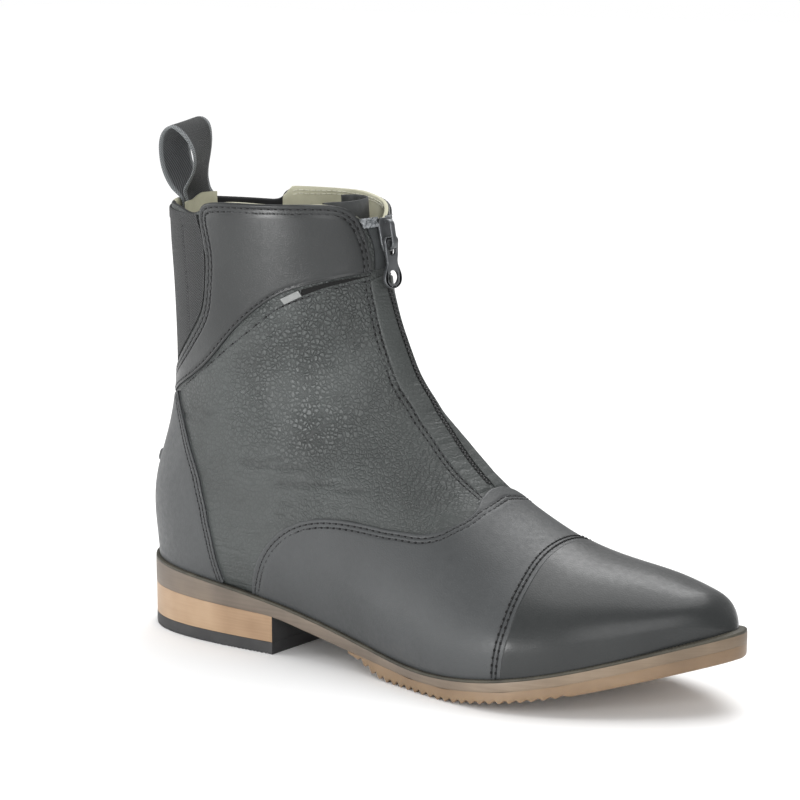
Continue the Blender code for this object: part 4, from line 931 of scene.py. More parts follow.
def seam_path(line, step=0.4):
    """Points, directions and normals along a seam: a curve on the last with an offset in millimetres.

    The curve is divided evenly, eased over 13 neighbours and moved to the left of its direction.
    """
    st, offset = line
    _, p, _, normal = even_path(st, step)
    p = eased(p, np.ones(13))
    run = unit(np.gradient(p, axis=0))
    return p + np.cross(normal, run) * offset, run, normal


def stitch_dip(base, lines):
    """Depth of the valleys that rows of stitches press into the leather: a bell across each line."""
    dip = np.zeros(base.shape[:-1])
    for line in lines:
        dip -= STITCH_DIP * np.exp(-((distance_to(base, seam_path(line)[0]) / 0.6) ** 2))
    return dip


def overlay(name, solid, st, edges, sewn, out=OVERLAY_OUT, look="smooth", extra=0.0, grain=0.5):
    """A leather layer over a grid of (along, across), with rounded cut edges and stitch valleys.

    Its height is the layer's own, less a quarter round at the cut edges and the valleys of the sewn lines.
    """
    base = laid(st)
    far = distance_to(base, np.vstack([dense(e) for e in edges]))
    h = out + cut_edge(far) + stitch_dip(base, sewn) + extra + ripple(base, 0.1) * smooth((far - 1) / 6)
    inner = laid(st, np.minimum(OVERLAY_IN, h - 0.2))
    values = {"grain": np.full(2 * h.size, grain)}
    slab(name, laid(st, h), inner, [look], replaces=(solid,), values=values)


def quarter_round(distance, radius):
    """Fall of a quarter round as a share of it: 1 at the edge, 0 from the radius on."""
    e = np.clip(distance / radius, 0, 1)
    return 1 - np.sqrt(1 - (1 - e) ** 2)


def cut_edge(distance):
    """Height of a cut leather edge: a quarter round down at the edge."""
    return -EDGE_ROUND * quarter_round(distance, EDGE_ROUND)


def curve(rows, count=500):
    """A table's curve on the last, finely divided."""
    return along_path(rows, np.linspace(0, 1, count))


def facing_line(offset, count=300):
    """A line beside the zip: the facing's edge, moved away from the crown by an offset in millimetres."""
    along = np.linspace(0.349, FACING_WIDTH[-1][0], count)
    return np.stack([along, -(table(FACING_WIDTH, along) + offset) / half_arc(along)], 1)


def counter_line():
    """The counter's cut edge: its table's curve, eased over 18 mm in space, then found again on the last."""
    p = np.array(COUNTER_EDGE)
    st = sampled(np.linspace(0, len(p) - 1, 700), np.arange(len(p)), p)
    line = eased(even_path(st, 0.3)[1], np.hanning(63)[1:-1])
    nearby = np.clip(st[:, 1:] + np.linspace(-0.05, 0.05, 101), -1, 1)
    far = distance_to(on_last(np.broadcast_to(st[:, :1], nearby.shape), nearby), line)
    st[:, 1] = np.take_along_axis(nearby, far.argmin(1)[:, None], 1)[:, 0]
    return st


def sewn_lines():
    """The stitched lines of each piece: a curve on the last with the distance of the row from it."""
    lines = {
        "cap": [(curve(CAP_SEAM), d) for d in EDGE_ROWS],
        "vamp": [(curve(VAMP_ROW), d) for d in (0, EDGE_ROWS[0] - EDGE_ROWS[1])],
        "counter": [(counter_line(), d) for d in COUNTER_SEAM],
        "facing": [(facing_line(d), 0) for d in FACING_SEAM],
        "quarter": [(curve(QUARTER_SEAM), 0)],
        "gore": [(curve(GORE_SEAM), 0)],
    }
    for key in list(lines):
        if key != "cap":
            lines[key] += [other_side(line) for line in lines[key]]
    panel = [(curve(rows), d) for rows in (PANEL_TOP, PANEL_FRONT) for d in EDGE_ROWS]
    lines["panel_lateral"] = panel + [(curve(PANEL_BOTTOM), -PANEL_ROW)]
    lines["panel_medial"] = [other_side(line) for line in lines["panel_lateral"][2:]]
    lines["panel_medial"] += [(curve(PANEL_TOP_MEDIAL), -d) for d in EDGE_ROWS]
    return lines


def other_side(line):
    """A seam mirrored to the medial side."""
    return mirrored(line[0]), -line[1]


def shaft_relief(base):
    """Height of the quarters over an even shell, and the share of each point in a crease's fold.

    The height is slow waves, troughs between soft ridges, and broad swells. The share is painted shade that
    darkens the colour in a trough.
    """
    lift = ripple(base, 0.12)
    crease_shade = np.zeros(lift.shape)
    for depth, half, points in CREASES:
        line = dense(points)
        d = distance_to(base, line)
        ends = np.minimum(np.linalg.norm(base - line[0], axis=-1), np.linalg.norm(base - line[-1], axis=-1))
        # a trough in a broader, lower ridge
        fade = smooth(ends / CREASE_FADE)
        deep = fade * np.exp(-((d / half) ** 2))
        ridge = 0.5 * fade * np.exp(-((d / (2.6 * half)) ** 2))
        lift = lift + depth * (ridge - deep)
        # painted shade: a narrow share at the trough's bottom, for the leather's colour
        crease_shade = np.maximum(crease_shade, deep**3)
    for s, t, size, height in SWELLS:
        centre = on_last(np.array([s]), np.array([t]))[0]
        lift = lift + height * np.exp(-(np.linalg.norm(base - centre, axis=-1) / size) ** 2)
    return lift, crease_shade


def build_upper(lines):
    """The hollow shell: tumbled leather outside, lining inside up to the collar's edge.

    Creases are troughs between soft ridges, and broad swells give the shaft its hollows.
    """
    rows = np.concatenate([
        np.linspace(0, 0.03, 6), np.linspace(0.05, 0.3, 9), np.linspace(0.312, 0.54, 44),
        np.linspace(0.5435, 0.82, 88), np.linspace(0.824, 0.86, 9), np.linspace(0.866, 1, 26)])
    rows = np.unique(np.concatenate([rows[np.abs(rows - HEEL_ALONG) > 0.0015], [HEEL_ALONG]]))
    heel = int(np.argmin(np.abs(rows - HEEL_ALONG)))
    u = np.linspace(-1, 1, 241)
    across = u - 0.04 * np.sin(2 * np.pi * u)
    rise = RIM_RISE * smooth((across + 0.1) / 0.2) * smooth((0.69 - across) / 0.05)
    top = table(COLLAR_EDGE, across) + rise
    grow = np.clip((rows[:, None] - COLLAR_LOW) / (1 - COLLAR_LOW), 0, 1)
    along = np.where(grow > 0, COLLAR_LOW + grow * (top - COLLAR_LOW), rows[:, None])
    across = np.broadcast_to(across, along.shape)
    base = on_last(along, across)
    lift, crease_shade = shaft_relief(base)
    lift = lift + stitch_dip(base, lines["quarter"] + lines["facing"])
    outer = on_last(along, across, QUARTER_OUT + lift)
    inner = on_last(along, across, LINING_OUT)
    n, m = along.shape
    rim = []
    for k in (0.15, 0.5, 0.85):
        bulge = 0.9 * math.sin(math.pi * k) / SHAFT_SCALE
        h = QUARTER_OUT + lift[-1] + (LINING_OUT - QUARTER_OUT - lift[-1]) * k
        rim.append(on_last(along[-1] + bulge, across[-1], h))
    count = n * m
    points = np.vstack([outer.reshape(-1, 3), inner.reshape(-1, 3), *rim])
    faces = [sheet_faces(n, m), sheet_faces(n, m, count)[:, ::-1]]
    edge = np.arange(m)
    rings = [edge + (n - 1) * m, *(2 * count + k * m + edge for k in range(3)), edge + 2 * count - m]
    for a, b in zip(rings[:-1], rings[1:]):
        faces.append(np.stack([a[:-1], a[1:], b[1:], b[:-1]], 1))
    for column in (0, m - 1):
        a = np.arange(heel) * m + column
        faces.append(np.stack([a, a + m, a + m + count, a + count], 1))
    middle = ((across[:-1, :-1] + across[1:, 1:]) / 2).ravel()
    height = ((along[:-1, :-1] + along[1:, 1:]) / 2).ravel()
    gore = np.any([(middle > a) & (middle < b) for a, b in GORE_BACK], axis=0)
    sheet = len(faces[0])
    look = np.zeros(sum(len(f) for f in faces), int)
    look[sheet : 2 * sheet] = np.where(gore & (height > GORE_BACK_LOW), 2, 1)
    look[2 * sheet + m - 1 : 2 * sheet + 4 * (m - 1)] = np.tile(np.where(gore[-(m - 1) :], 2, 1), 3)
    # grain: strong in front of the ankle, faint at heel and waist
    front = np.exp(-(((np.abs(across) - 0.26) / 0.26) ** 2)) * smooth((along - 0.34) / 0.08)
    grain = 0.25 + 0.75 * np.clip(front + 0.25 * smooth((along - 0.75) / 0.08), 0, 1)
    # the second value is painted shade in the crease troughs, on the outer sheet only
    values = {"grain": np.concatenate([grain.ravel(), grain.ravel(), np.full(3 * m, 0.3)]),
              "crease_shade": np.concatenate([crease_shade.ravel(), np.zeros(count + 3 * m)])}
    piece("upper_shell", points, np.vstack(faces), ["tumbled", "lining", "elastic_inside"], ("upper",),
          face_look=look, values=values)


def build_overlays(lines):
    """Toe cap, vamp, heel counter, collar panels, zip facings, slits and tag, as layers on the last."""
    seam = along_path(CAP_SEAM, np.linspace(0, 1, 131))
    near_tip = 1 - 0.07 * np.array([0.75, 0.55, 0.38, 0.25, 0.15, 0.08, 0.03, 0.0])
    reach = np.unique(np.concatenate([fractions(100, 1.5, True, False) * 0.93, near_tip]))
    tip = np.stack([np.zeros(131), seam[:, 1]], 1)
    overlay("toe_cap_leather", "toe_cap", ruled(seam, tip, reach), [seam], lines["cap"], CAP_OUT, "panel")
    half = along_path(VAMP_EDGE, np.linspace(0, 1, 101))
    edge = np.vstack([half, mirrored(half)[-2::-1]])
    front = along_path(CAP_SEAM, np.linspace(0, 1, 201)) - (0.014, 0)
    vamp = ruled(edge, front, fractions(150, 1.7, True, False))
    overlay("vamp_leather", "vamp", vamp, [edge], lines["vamp"])
    build_counter()
    columns = fractions(330, 1.5, True, False)
    for (side, turn), rows in zip(SIDES, (PANEL_TOP, mirrored(PANEL_TOP_MEDIAL))):
        panel = ruled(along_path(rows, columns), along_path(PANEL_BOTTOM, columns), fractions(62, 1.5))
        # the lower edge gapes over the slit
        low = distance_to(laid(panel), dense(curve(PANEL_BOTTOM)))
        gape = 0.9 * np.exp(-(((panel[..., 1] + 0.19) / 0.1) ** 2)) * np.exp(-low / 4.0)
        edges = [curve(line) * (1, turn) for line in (rows, PANEL_BOTTOM, PANEL_FRONT, PANEL_BACK)]
        overlay("collar_leather_" + side, "collar_panel_" + side, panel * (1, turn), edges,
                lines["panel_" + side], look="panel", extra=gape)
    edge = facing_line(0, 150)
    groove = np.stack([edge[:, 0] + 0.003, -1.3 / half_arc(edge[:, 0])], 1)
    strip = ruled(edge, groove, fractions(11, 0.9))
    under = 0.7 * smooth((0.364 - strip[..., 0]) / 0.012)
    for (side, turn), out in zip(SIDES, FACING_OUT):
        overlay("facing_leather_" + side, "zip_facing_" + side, strip * (1, turn),
                [edge * (1, turn), groove * (1, turn)], [], out, "tumbled", -under, 0.22)
    # painted shade: a near-black sheet under each slit stands for the shadow inside it
    slit = ruled(curve(SLIT_TOP, 40), curve(SLIT_LOW, 40), np.linspace(0, 1, 5))
    for side, turn in SIDES:
        turned = slit * (1, turn)
        slab("slit_shade_sheet_" + side, laid(turned, -0.55), laid(turned, -1.2), ["dark"])
    a, b, c, d = (np.array(p) for p in TAG_CORNERS)
    k = np.linspace(0, 1, 22)[:, None]
    tag = ruled(a * (1 - k) + b * k, d * (1 - k) + c * k, np.linspace(0, 1, 10))
    fall = quarter_round(distance_to(laid(tag), dense(np.vstack([d, c]))), 0.8)
    slab("tag_ribbon", laid(tag, -0.1 - 0.25 * fall), laid(tag, -0.6), ["tag"], replaces=("side_tag",))


def build_counter():
    """Heel counter: each section runs from the cut edge to the welt, or above the heel to the back seam."""
    last = COUNTER_EDGE[-1][0]
    s = np.concatenate([np.linspace(0.57, HEEL_ALONG, 60), np.linspace(HEEL_ALONG, last, 76)[1:]])
    line = counter_line()
    edge = np.interp(s, *line.T)
    across = edge[:, None] + (-1 - edge[:, None]) * fractions(75, 1.5, True, False)
    along = np.broadcast_to(s[:, None], across.shape)
    base = on_last(along, across)
    far = distance_to(base, dense(line))
    h = OVERLAY_OUT + cut_edge(far) + ripple(base, 0.08) * smooth((far - 1) / 6)
    h = h + stitch_dip(base, [(line, d) for d in COUNTER_SEAM])
    n, m = across.shape
    ring = border(n, m)
    after = np.roll(ring, -1)
    above = s[np.stack([ring, after]) // m].min(0) >= HEEL_ALONG
    wall = ~(above & (ring % m == m - 1) & (after % m == m - 1))
    a, b = ring[wall], after[wall]
    sheet = sheet_faces(n, m)
    shape = np.vstack([sheet, sheet[:, ::-1] + n * m, np.stack([a, b, b + n * m, a + n * m], 1)])
    layers = [(turn, out) for _, turn in SIDES for out in (h, OVERLAY_IN)]
    points = [on_last(along, across * turn, out).reshape(-1, 3) for turn, out in layers]
    faces = np.vstack([shape, shape[:, ::-1] + 2 * n * m])
    piece("heel_counter_leather", np.vstack(points), faces, ["smooth"], ("heel_counter",))


def build_gore():
    """Elastic round the back: a grid from the lateral edge to the back seam and on to the medial edge.

    A turned hem thickens its top, and the sewn seam on each side is a valley.
    """
    columns = fractions(100, 1.2)
    end = GORE_EDGE[-1][0] + 0.001
    back = np.stack([GORE_TOP + (end - GORE_TOP) * columns, np.full(len(columns), -1.0)], 1)
    weights = np.linspace(0, 1, 60)
    side = ruled(along_path(GORE_EDGE, columns), back, weights)
    far = ruled(along_path(GORE_EDGE_MEDIAL, columns), mirrored(back), weights)
    grid = np.concatenate([side, far[-2::-1]])
    s, t = grid[..., 0], grid[..., 1]
    down = (s[:, :1] - s) * SHAFT_SCALE
    h = np.full(s.shape, -0.15)
    seam = curve(GORE_SEAM)
    for line in (seam, mirrored(seam)):
        h -= 0.35 * np.exp(-((distance_to(laid(grid), dense(line)) / 0.7) ** 2))
    h += 0.35 * smooth((4.5 - down) / 0.6)
    h -= 0.5 * quarter_round(down, 0.7)
    turned = np.where(t < 0, 1 + t, t - 1) * half_arc(s)
    uv = np.stack([turned, s * SHAFT_SCALE], 2).reshape(-1, 2)
    slab("gore_elastic", laid(grid, h), laid(grid, -1.0), ["elastic"],
         replaces=("elastic_gore",), uv=np.vstack([uv, uv]))


def stitch_places(line, out, pitch=STITCH_PITCH):
    """Places of a row of stitches: points at even steps with their directions and normals."""
    path = seam_path(line)
    d, at = even_stops(path[0], pitch)
    p, run, normal = (sampled(at, d, g) for g in path)
    return p + normal * out, run, normal


def between(places):
    """The places halfway between stitches."""
    p, run, normal = ((v[1:] + v[:-1]) / 2 for v in places)
    return p, unit(run), unit(normal)


def bodies(p, axes, steps):
    """Points of equal small bodies, one at each place: steps along the place's own axes."""
    return sum((axis[:, None] * step[:, None] for axis, step in zip(axes, steps)), p[:, None])


def sew(name, places, look, size):
    """All stitches or needle holes of one kind: each is a short spindle, lowered at both ends.

    A spindle is five rings of six points, scaled along its length.
    """
    p, run, normal = (np.vstack([place[k] for place in places]) for k in range(3))
    length, width, flat = size
    scale = np.array([0.35, 0.85, 1, 0.85, 0.35])[:, None] * width / 2
    drop = np.array([-0.32, -0.02, 0.08, -0.02, -0.32])[:, None] * flat
    angle = np.linspace(0, 2 * np.pi, 6, endpoint=False)
    a = np.repeat(np.array([-0.5, -0.36, 0, 0.36, 0.5]) * length, 6)
    b = (scale * np.cos(angle)).ravel()
    c = (scale * np.sin(angle) * flat + drop).ravel()
    points = bodies(p, (run, np.cross(normal, run), normal), (a, b, c))
    ends = np.array([[3, 2, 1, 0], [5, 4, 3, 0], [25, 26, 27, 24], [27, 28, 29, 24]])
    loose_piece(name, points.reshape(-1, 3), np.vstack([ring_faces(5, 6), ends])[:, ::-1], look)


def loose_piece(name, points, shape, look):
    """One mesh of many equal small bodies, each with the quads of shape."""
    size = shape.max() + 1
    faces = (shape[None] + size * np.arange(len(points) // size)[:, None, None]).reshape(-1, 4)
    mesh = bpy.data.meshes.new(name)
    mesh.from_pydata(((points - ORIGIN) / 1000).tolist(), [], faces.tolist())
    mesh.materials.append(LOOKS[look])
    mesh.shade_smooth()
    obj = placed(name, mesh)
    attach(obj, "boot")
    return obj


def build_stitches(lines):
    """Every seam's thread, and the dark needle holes between its stitches."""
    levels = {"cap": CAP_OUT, "vamp": OVERLAY_OUT, "counter": OVERLAY_OUT, "panel_lateral": OVERLAY_OUT,
              "panel_medial": OVERLAY_OUT, "facing": QUARTER_OUT, "quarter": QUARTER_OUT}
    rows = []
    for key, level in levels.items():
        for line in lines[key]:
            p, run, normal = stitch_places(line, level - STITCH_DIP + 0.05)
            if level == QUARTER_OUT:
                p = p + normal * shaft_relief(p - normal * QUARTER_OUT)[0][:, None]
            rows.append((p, run, normal))
    rows += [stitch_places(line, *GORE_STITCH) for line in lines["gore"]]
    sew("seam_thread", rows, "thread", THREAD)
    # painted shade: near-black spindles between the stitches stand for the shadow in the needle holes
    sew("needle_hole_shade", [between(row) for row in rows], "dark", NEEDLE_HOLE_SHADE)
    pale = []
    for _, turn in SIDES:
        rim = np.linspace(0.16, 0.64, 300) * turn
        for below in LINING_ROWS:
            line = np.stack([table(COLLAR_EDGE, rim) - below / SHAFT_SCALE, rim], 1)
            pale.append(stitch_places((line, 0), LINING_OUT))
    sew("lining_seam_thread", pale, "lining_thread", THREAD)


def sole_loop(x, curve):
    """Outline points round the loop, lateral side and then medial side back, and their inward normals."""
    lateral, medial = side_edges(curve, x)
    loop = np.vstack([np.stack([x, lateral], 1), np.stack([x, medial], 1)[::-1]])
    run = np.roll(loop, -1, 0) - np.roll(loop, 1, 0)
    n = np.stack([-run[:, 1], run[:, 0]], 1)
    n /= np.linalg.norm(n, axis=1)[:, None] + 1e-12
    for a, b in ((0, -1), (len(x) - 1, len(x))):
        if np.linalg.norm(loop[a] - loop[b]) < 1e-6:
            both = n[a] + n[b]
            n[a] = n[b] = both / np.linalg.norm(both)
    return loop, n


def rounded_stations(start, end, count, round_start, round_end):
    """Values of x, closer together at a rounded end."""
    k = np.linspace(0, 1, count)
    if round_start and round_end:
        k = (1 - np.cos(np.pi * k)) / 2
    elif round_start:
        k = 1 - np.cos(np.pi * k / 2)
    elif round_end:
        k = np.sin(np.pi * k / 2)
    return start + (end - start) * k


def sole_piece(name, x, rows, looks, solid, across=9, crease=35):
    """A sole layer: a side profile of (inset, height) rows carried round the outline.

    It is ruled flat above and below. A second look goes on the faces that close it in front.
    """
    loop, n = sole_loop(x, EDGE)
    count = len(loop)
    side = np.stack([np.column_stack([loop + n * d, np.concatenate([z, z[::-1]])]) for d, z in rows])
    k = np.linspace(0, 1, across)[None, :, None]
    caps = []
    for row in (side[0], side[-1]):
        lateral, medial = row[: len(x)], row[len(x) :][::-1]
        caps.append(lateral[:, None] * (1 - k) + medial[:, None] * k)
    closed = np.concatenate([side, side[:, :1]], 1)
    points = np.vstack([closed.reshape(-1, 3), caps[0].reshape(-1, 3), caps[1].reshape(-1, 3)])
    first = closed.shape[0] * (count + 1)
    faces = np.vstack([
        sheet_faces(len(rows), count + 1),
        sheet_faces(len(x), across, first)[:, ::-1],
        sheet_faces(len(x), across, first + len(x) * across),
    ])
    front = points[faces][..., 0].min(1) > x[-1] - 0.5
    look = front.astype(int) if len(looks) > 1 else None
    piece(name, points, faces, looks, (solid,), face_look=look, crease=crease)


def build_sole():
    """Midsole band, outsole with its cross ribs, heel block and lift, and the ridged welt."""
    low, high = EDGE[:, 0].min(), EDGE[:, 0].max()
    x = rounded_stations(low, high, 320, True, True)
    top = table(SOLE_TOP, x) - 1.0
    foot = level_run(straight(BAND_BOTTOM, x))
    profile = [(0.5, top), (0.12, top - 0.1), (0.0, top - 0.45)]
    for k in (0.25, 0.5, 0.75):
        profile.append((-0.06 * math.sin(math.pi * k), top - 0.45 + (foot - top + 0.6) * k))
    profile += [(0.0, foot + 0.05), (0.02, foot)]
    sole_piece("midsole_band", x, profile, ["band"], "midsole")
    x = rounded_stations(low, BREAST_X, 150, True, False)
    block = straight(BAND_BOTTOM, x) - 0.05
    lift = np.full(150, LIFT_TOP)
    profile = [(0.25, block), (0.06, block - 0.12), (0.06, lift + 0.1), (0.15, lift)]
    sole_piece("heel_stack", x, profile, ["heel", "lift"], "heel_block")
    # the lift's foot is finely milled, with grooves under half as wide as their pitch
    tooth = MILL_DEPTH * (np.abs(((x / MILL_PITCH) % 1) - 0.5) < 0.22)
    tooth[-3:] = 0
    profile = [(0.15, lift - 0.05), (0.02, lift - 0.2), (0.02, 0.8 + 0 * x), (0.1, tooth)]
    sole_piece("heel_lift_rubber", x, profile, ["lift"], "heel_top_piece")
    # cross ribs: a narrow land and a V groove each
    ribs = np.arange(RIB_START, RIB_END, RIB_PITCH)
    steps = np.array([0, 0.1, 0.2, 0.37, 0.51, 0.6, 0.69, 0.84]) * RIB_PITCH
    teeth = (ribs[:, None] + steps).ravel()
    depth = np.tile([0, 0, 0.1, 0.5, 0.9, 1, 0.9, 0.5], len(ribs))
    depth = depth * (RIB_DEPTH + 0.3 + (RIB_FADE - RIB_DEPTH) * (teeth - RIB_START) / (RIB_END - RIB_START))
    toe = rounded_stations(RIB_END + 2, high, 90, False, True)
    x = np.concatenate([np.linspace(OUTSOLE_START, 130.6, 5), teeth, toe])
    rise = np.concatenate([np.zeros(5), depth, np.zeros(90)])
    roof = straight(BAND_BOTTOM, x) - 0.05
    roof[-90:] = level_run(roof)[-90:]
    tread = np.where((x > 152) & (x < 182), 0, np.maximum(table(OUTSOLE_BOTTOM, x), 0))
    tread = np.minimum(tread + rise, roof - 0.5)
    wall = roof - tread
    profile = [
        (0.02, roof), (0.0, roof - 0.1 * wall), (0.0, tread + 0.35 * wall), (0.12, tread + 0.1 * wall),
        (0.5, tread),
    ]
    sole_piece("outsole_rubber", x, profile, ["amber"], "outsole")
    build_welt()


def build_welt():
    """Welt: a flattened round carried along the sole edge, notched every 1.5 mm as if wheeled."""
    loop = np.vstack([EDGE, EDGE[:1]])
    inner = np.vstack([FEATHER, FEATHER[:1]])
    d = run_length(loop)
    at = np.linspace(0, d[-1], 1800, endpoint=False)
    p, f = (sampled(at, d, line) for line in (loop, inner))
    width = np.linalg.norm(f - p, axis=1)
    inward = (f - p) / width[:, None]
    notch = WELT_DEPTH * np.abs(np.sin(np.pi * at / WELT_PITCH)) ** 0.7
    z = table(SOLE_TOP, p[:, 0]) - 0.3
    # inset as a share of the width to the feather line, height over the welt's top, share of the notch
    profile = [
        (1.25, -1.0, 0), (1.2, -0.25, 0.3), (0.95, 0.02, 1), (0.6, 0.1, 1), (0.3, 0.05, 1), (0.1, -0.12, 1),
        (0.02, -0.4, 0.6), (0.02, -1.0, 0),
    ]
    rings = [np.column_stack([p + inward * (width * k)[:, None], z + h + notch * c]) for k, h, c in profile]
    grid = np.stack([*rings, rings[0]])
    grid = np.concatenate([grid, grid[:, :1]], 1)
    piece("welt_strip", grid, sheet_faces(*grid.shape[:2]), ["welt"], ("welt",))


def thick_band(path, thick):
    """Both faces of a band: its middle line, a grid of plan points, moved to each side along its normal."""
    run = np.gradient(path, axis=0)
    side = np.stack([-run[..., 1], run[..., 0]], -1)
    side *= (thick / 2)[..., None] / np.linalg.norm(side, axis=-1)[..., None]
    return path + side, path - side


def soft_edges(k):
    """Thickness share across a band whose k runs from -1 to 1: full, and rounded off at both edges."""
    return np.sqrt(np.clip(1 - np.abs(k) ** 14, 0.05, 1))


def build_loop():
    """Webbing teardrop over the back of the collar, ruled between its two edge lines.

    Its two legs follow the curve of the back inside, and a patch of lining covers them.
    """
    rows = np.array(LOOP_EDGES)
    at = np.linspace(0, 1, 190)
    near, far = along_path(rows[:, :2], at), along_path(rows[:, 2:], at)
    edge = 1 - np.array([0, 0.01, 0.03, 0.07, 0.13])
    k = np.concatenate([-edge, np.linspace(-0.78, 0.78, 22), edge[::-1]])
    w = ((k + 1) / 2)[:, None]
    path = near[:, None] * (1 - w) + far[:, None] * w
    y = k * LOOP_WIDTH / 2
    sheets = []
    for face in thick_band(path, LOOP_THICK * soft_edges(k)):
        x, z = face[..., 0], face[..., 1]
        sheets.append(np.stack([x + smooth((LOOP_FOOT - z) / 5) * y**2 / BACK_BEND, y + 0 * x, z], 2))
    length = run_length(path[:, 13])
    uv = np.stack(np.broadcast_arrays(y, length[:, None]), 2).reshape(-1, 2)
    slab("pull_loop_webbing", *sheets, ["webbing", "webbing_inside"], replaces=("pull_loop",),
         uv=np.vstack([uv, uv]), face_look=first_sheet_look(sheets[0].shape, 1))
    y = np.linspace(*PATCH_SIDES, 50)
    low, high = PATCH_HEIGHTS
    z = np.concatenate([np.linspace(low, high - 1, 24), high - np.array([0.5, 0.2, 0])])[:, None]
    front = PATCH_FRONT + y**2 / BACK_BEND + 0 * z
    # the patch's medial top stands higher
    rise = 2.6 * smooth((y + 8) / 10) * smooth((z - 185) / 7)
    patch = [np.stack([front + d, y + 0 * front, z + rise], 2) for d in (0.45, 0)]
    slab("back_lining", *patch, ["lining"])


def build_guard():
    """Lined leather guard behind the zip, its free edge curled into the shaft: a plan curve drawn up."""
    tip = GUARD_TOP - np.array([0.7, 0.4, 0.2, 0.05, 0])
    z = np.concatenate([np.linspace(GUARD_BOTTOM, GUARD_TOP - 1, 30), tip])
    path = np.repeat(along_path(GUARD_PATH, np.linspace(0, 1, 90))[:, None], len(z), 1)
    slope = np.interp(z, [GUARD_BOTTOM, 175, GUARD_TOP], [4.2, 1.9, 0.7])
    sheets = []
    for face in thick_band(path, GUARD_THICK * soft_edges(np.linspace(0, 1, len(z)))):
        x, y = face[..., 0], face[..., 1]
        sheets.append(np.stack([x + slope * smooth((y + 17) / 13), y, z + 0 * x], 2))
    # the leather is turned over the top: lining only below it
    look = first_sheet_look(sheets[0].shape, np.tile(z[1:] < GUARD_TOP - 2.6, len(path) - 1))
    slab("zip_guard_leather", *sheets, ["smooth", "lining"], replaces=("zip_guard",), face_look=look)


def build_spur_rest():
    """Small leather ledge on the back seam: a rounded bar over the counter."""
    v = np.linspace(-1, 1, 25)
    u = np.linspace(-1, 1, 61)
    s = SPUR_ALONG + SPUR_HALF_HEIGHT * v[:, None] * np.ones(61)
    t = np.broadcast_to(np.where(u < 0, -1 - SPUR_REACH * u, 1 - SPUR_REACH * u), s.shape)
    swell = np.sqrt(np.clip(1 - v**4, 0, 1))[:, None] * np.sqrt(np.clip(1.0 - u**6, 0, 1))
    outer = on_last(s, t, 0.85 + (SPUR_OUT - 0.75) * swell)
    slab("spur_rest_leather", outer, on_last(s, t, 0.3), ["smooth"], replaces=("spur_rest",))


def zip_frame():
    """Origin and axes at the pull tab's hinge: down the front, across, and out."""
    origin = on_last(np.array([HINGE_ALONG]), np.array([0.0]), HINGE_OUT)[0]
    up = on_last(np.array([HINGE_ALONG + 0.02, HINGE_ALONG - 0.02]), np.zeros(2))
    up = up[0] - up[1]
    pitch = math.atan2(-up[0], up[2])
    side = np.array([-math.sin(ZIP_YAW), math.cos(ZIP_YAW), 0.0])
    ahead = np.array([math.cos(ZIP_YAW), math.sin(ZIP_YAW), 0.0])
    down = ahead * math.sin(pitch) - np.array([0, 0, math.cos(pitch)])
    return origin, down, side, np.cross(down, side)


def half_outline(rows, count):
    """One side of an outline from a table of (distance, half width), at even steps."""
    k, v = np.array(rows, float).T
    d = np.concatenate([[0], np.cumsum(np.hypot(np.diff(k), np.diff(v)))])
    t = np.linspace(0, d[-1], count)
    return np.stack([spline(d, k, t), spline(d, v, t)], 1)


def into_frame(flat, level, axes):
    """Flat points at a level, in a frame of (origin, first, second, out)."""
    origin, first, second, out = axes
    return origin + flat[:, :1] * first + flat[:, 1:] * second + level * out


def build_zip():
    """Slider, pull tab, chain and tapes."""
    axes = zip_frame()
    origin, down, side, out = axes
    body = half_outline(SLIDER_TABLE, 40)
    loop = np.vstack([body, body[::-1] * (1, -1)])
    middle = loop.mean(0)
    low, high = SLIDER_LEVELS
    a = np.linspace(0, np.pi / 2, 5)
    # share of the outline and level, from the underside round the edge to the top
    rows = [(0.02, low), (0.93, low)]
    rows += [(0.93 + 0.07 * math.sin(t), low + 0.3 * (1 - math.cos(t))) for t in a]
    rows += [(0.88 + 0.12 * math.cos(t), high - 0.45 * (1 - math.sin(t))) for t in a]
    rows.append((0.02, high + 0.15))
    grid = np.stack([into_frame(middle + (loop - middle) * k, h, axes) for k, h in rows])
    grid = np.concatenate([grid, grid[:, :1]], 1)
    grid[0] = grid[0, :-1].mean(0)
    grid[-1] = grid[-1, :-1].mean(0)
    piece("zip_slider_body", grid, sheet_faces(*grid.shape[:2]), ["metal"], ("zip_slider",))
    build_bridge(*axes)
    tab_down = down * math.cos(TAB_TILT) - out * math.sin(TAB_TILT)
    tab_out = out * math.cos(TAB_TILT) + down * math.sin(TAB_TILT)
    build_tab(origin, tab_down, side, tab_out)
    build_coil()
    build_tapes()


def rounded_box(angle, power):
    """Cosine and sine of angles, each raised to its power with its sign kept: a circle made boxy."""
    waves = np.cos(angle), np.sin(angle)
    return [np.sign(wave) * np.abs(wave) ** k for wave, k in zip(waves, power)]


def build_bridge(origin, down, side, out):
    """Bridge: a rounded bar carried along the arch over the slider."""
    path = along_path(BRIDGE_ARCH, np.linspace(0, 1, 70))
    run = unit(np.gradient(path, axis=0))
    up = np.stack([-run[:, 1], run[:, 0]], 1)
    c, s = rounded_box(np.linspace(0, 2 * np.pi, 25), (0.6, 0.7))
    flat = path[:, None] + up[:, None] * (0.72 * s)[None, :, None]
    grid = origin + flat[..., :1] * down + flat[..., 1:] * out + (BRIDGE_HALF * c)[None, :, None] * side
    ends = [np.repeat(grid[k].mean(0)[None, None], len(c), 1) for k in (0, -1)]
    grid = np.concatenate([ends[0], grid, ends[1]])
    piece("zip_slider_bridge", grid, sheet_faces(*grid.shape[:2]), ["metal"], ("zip_slider",))


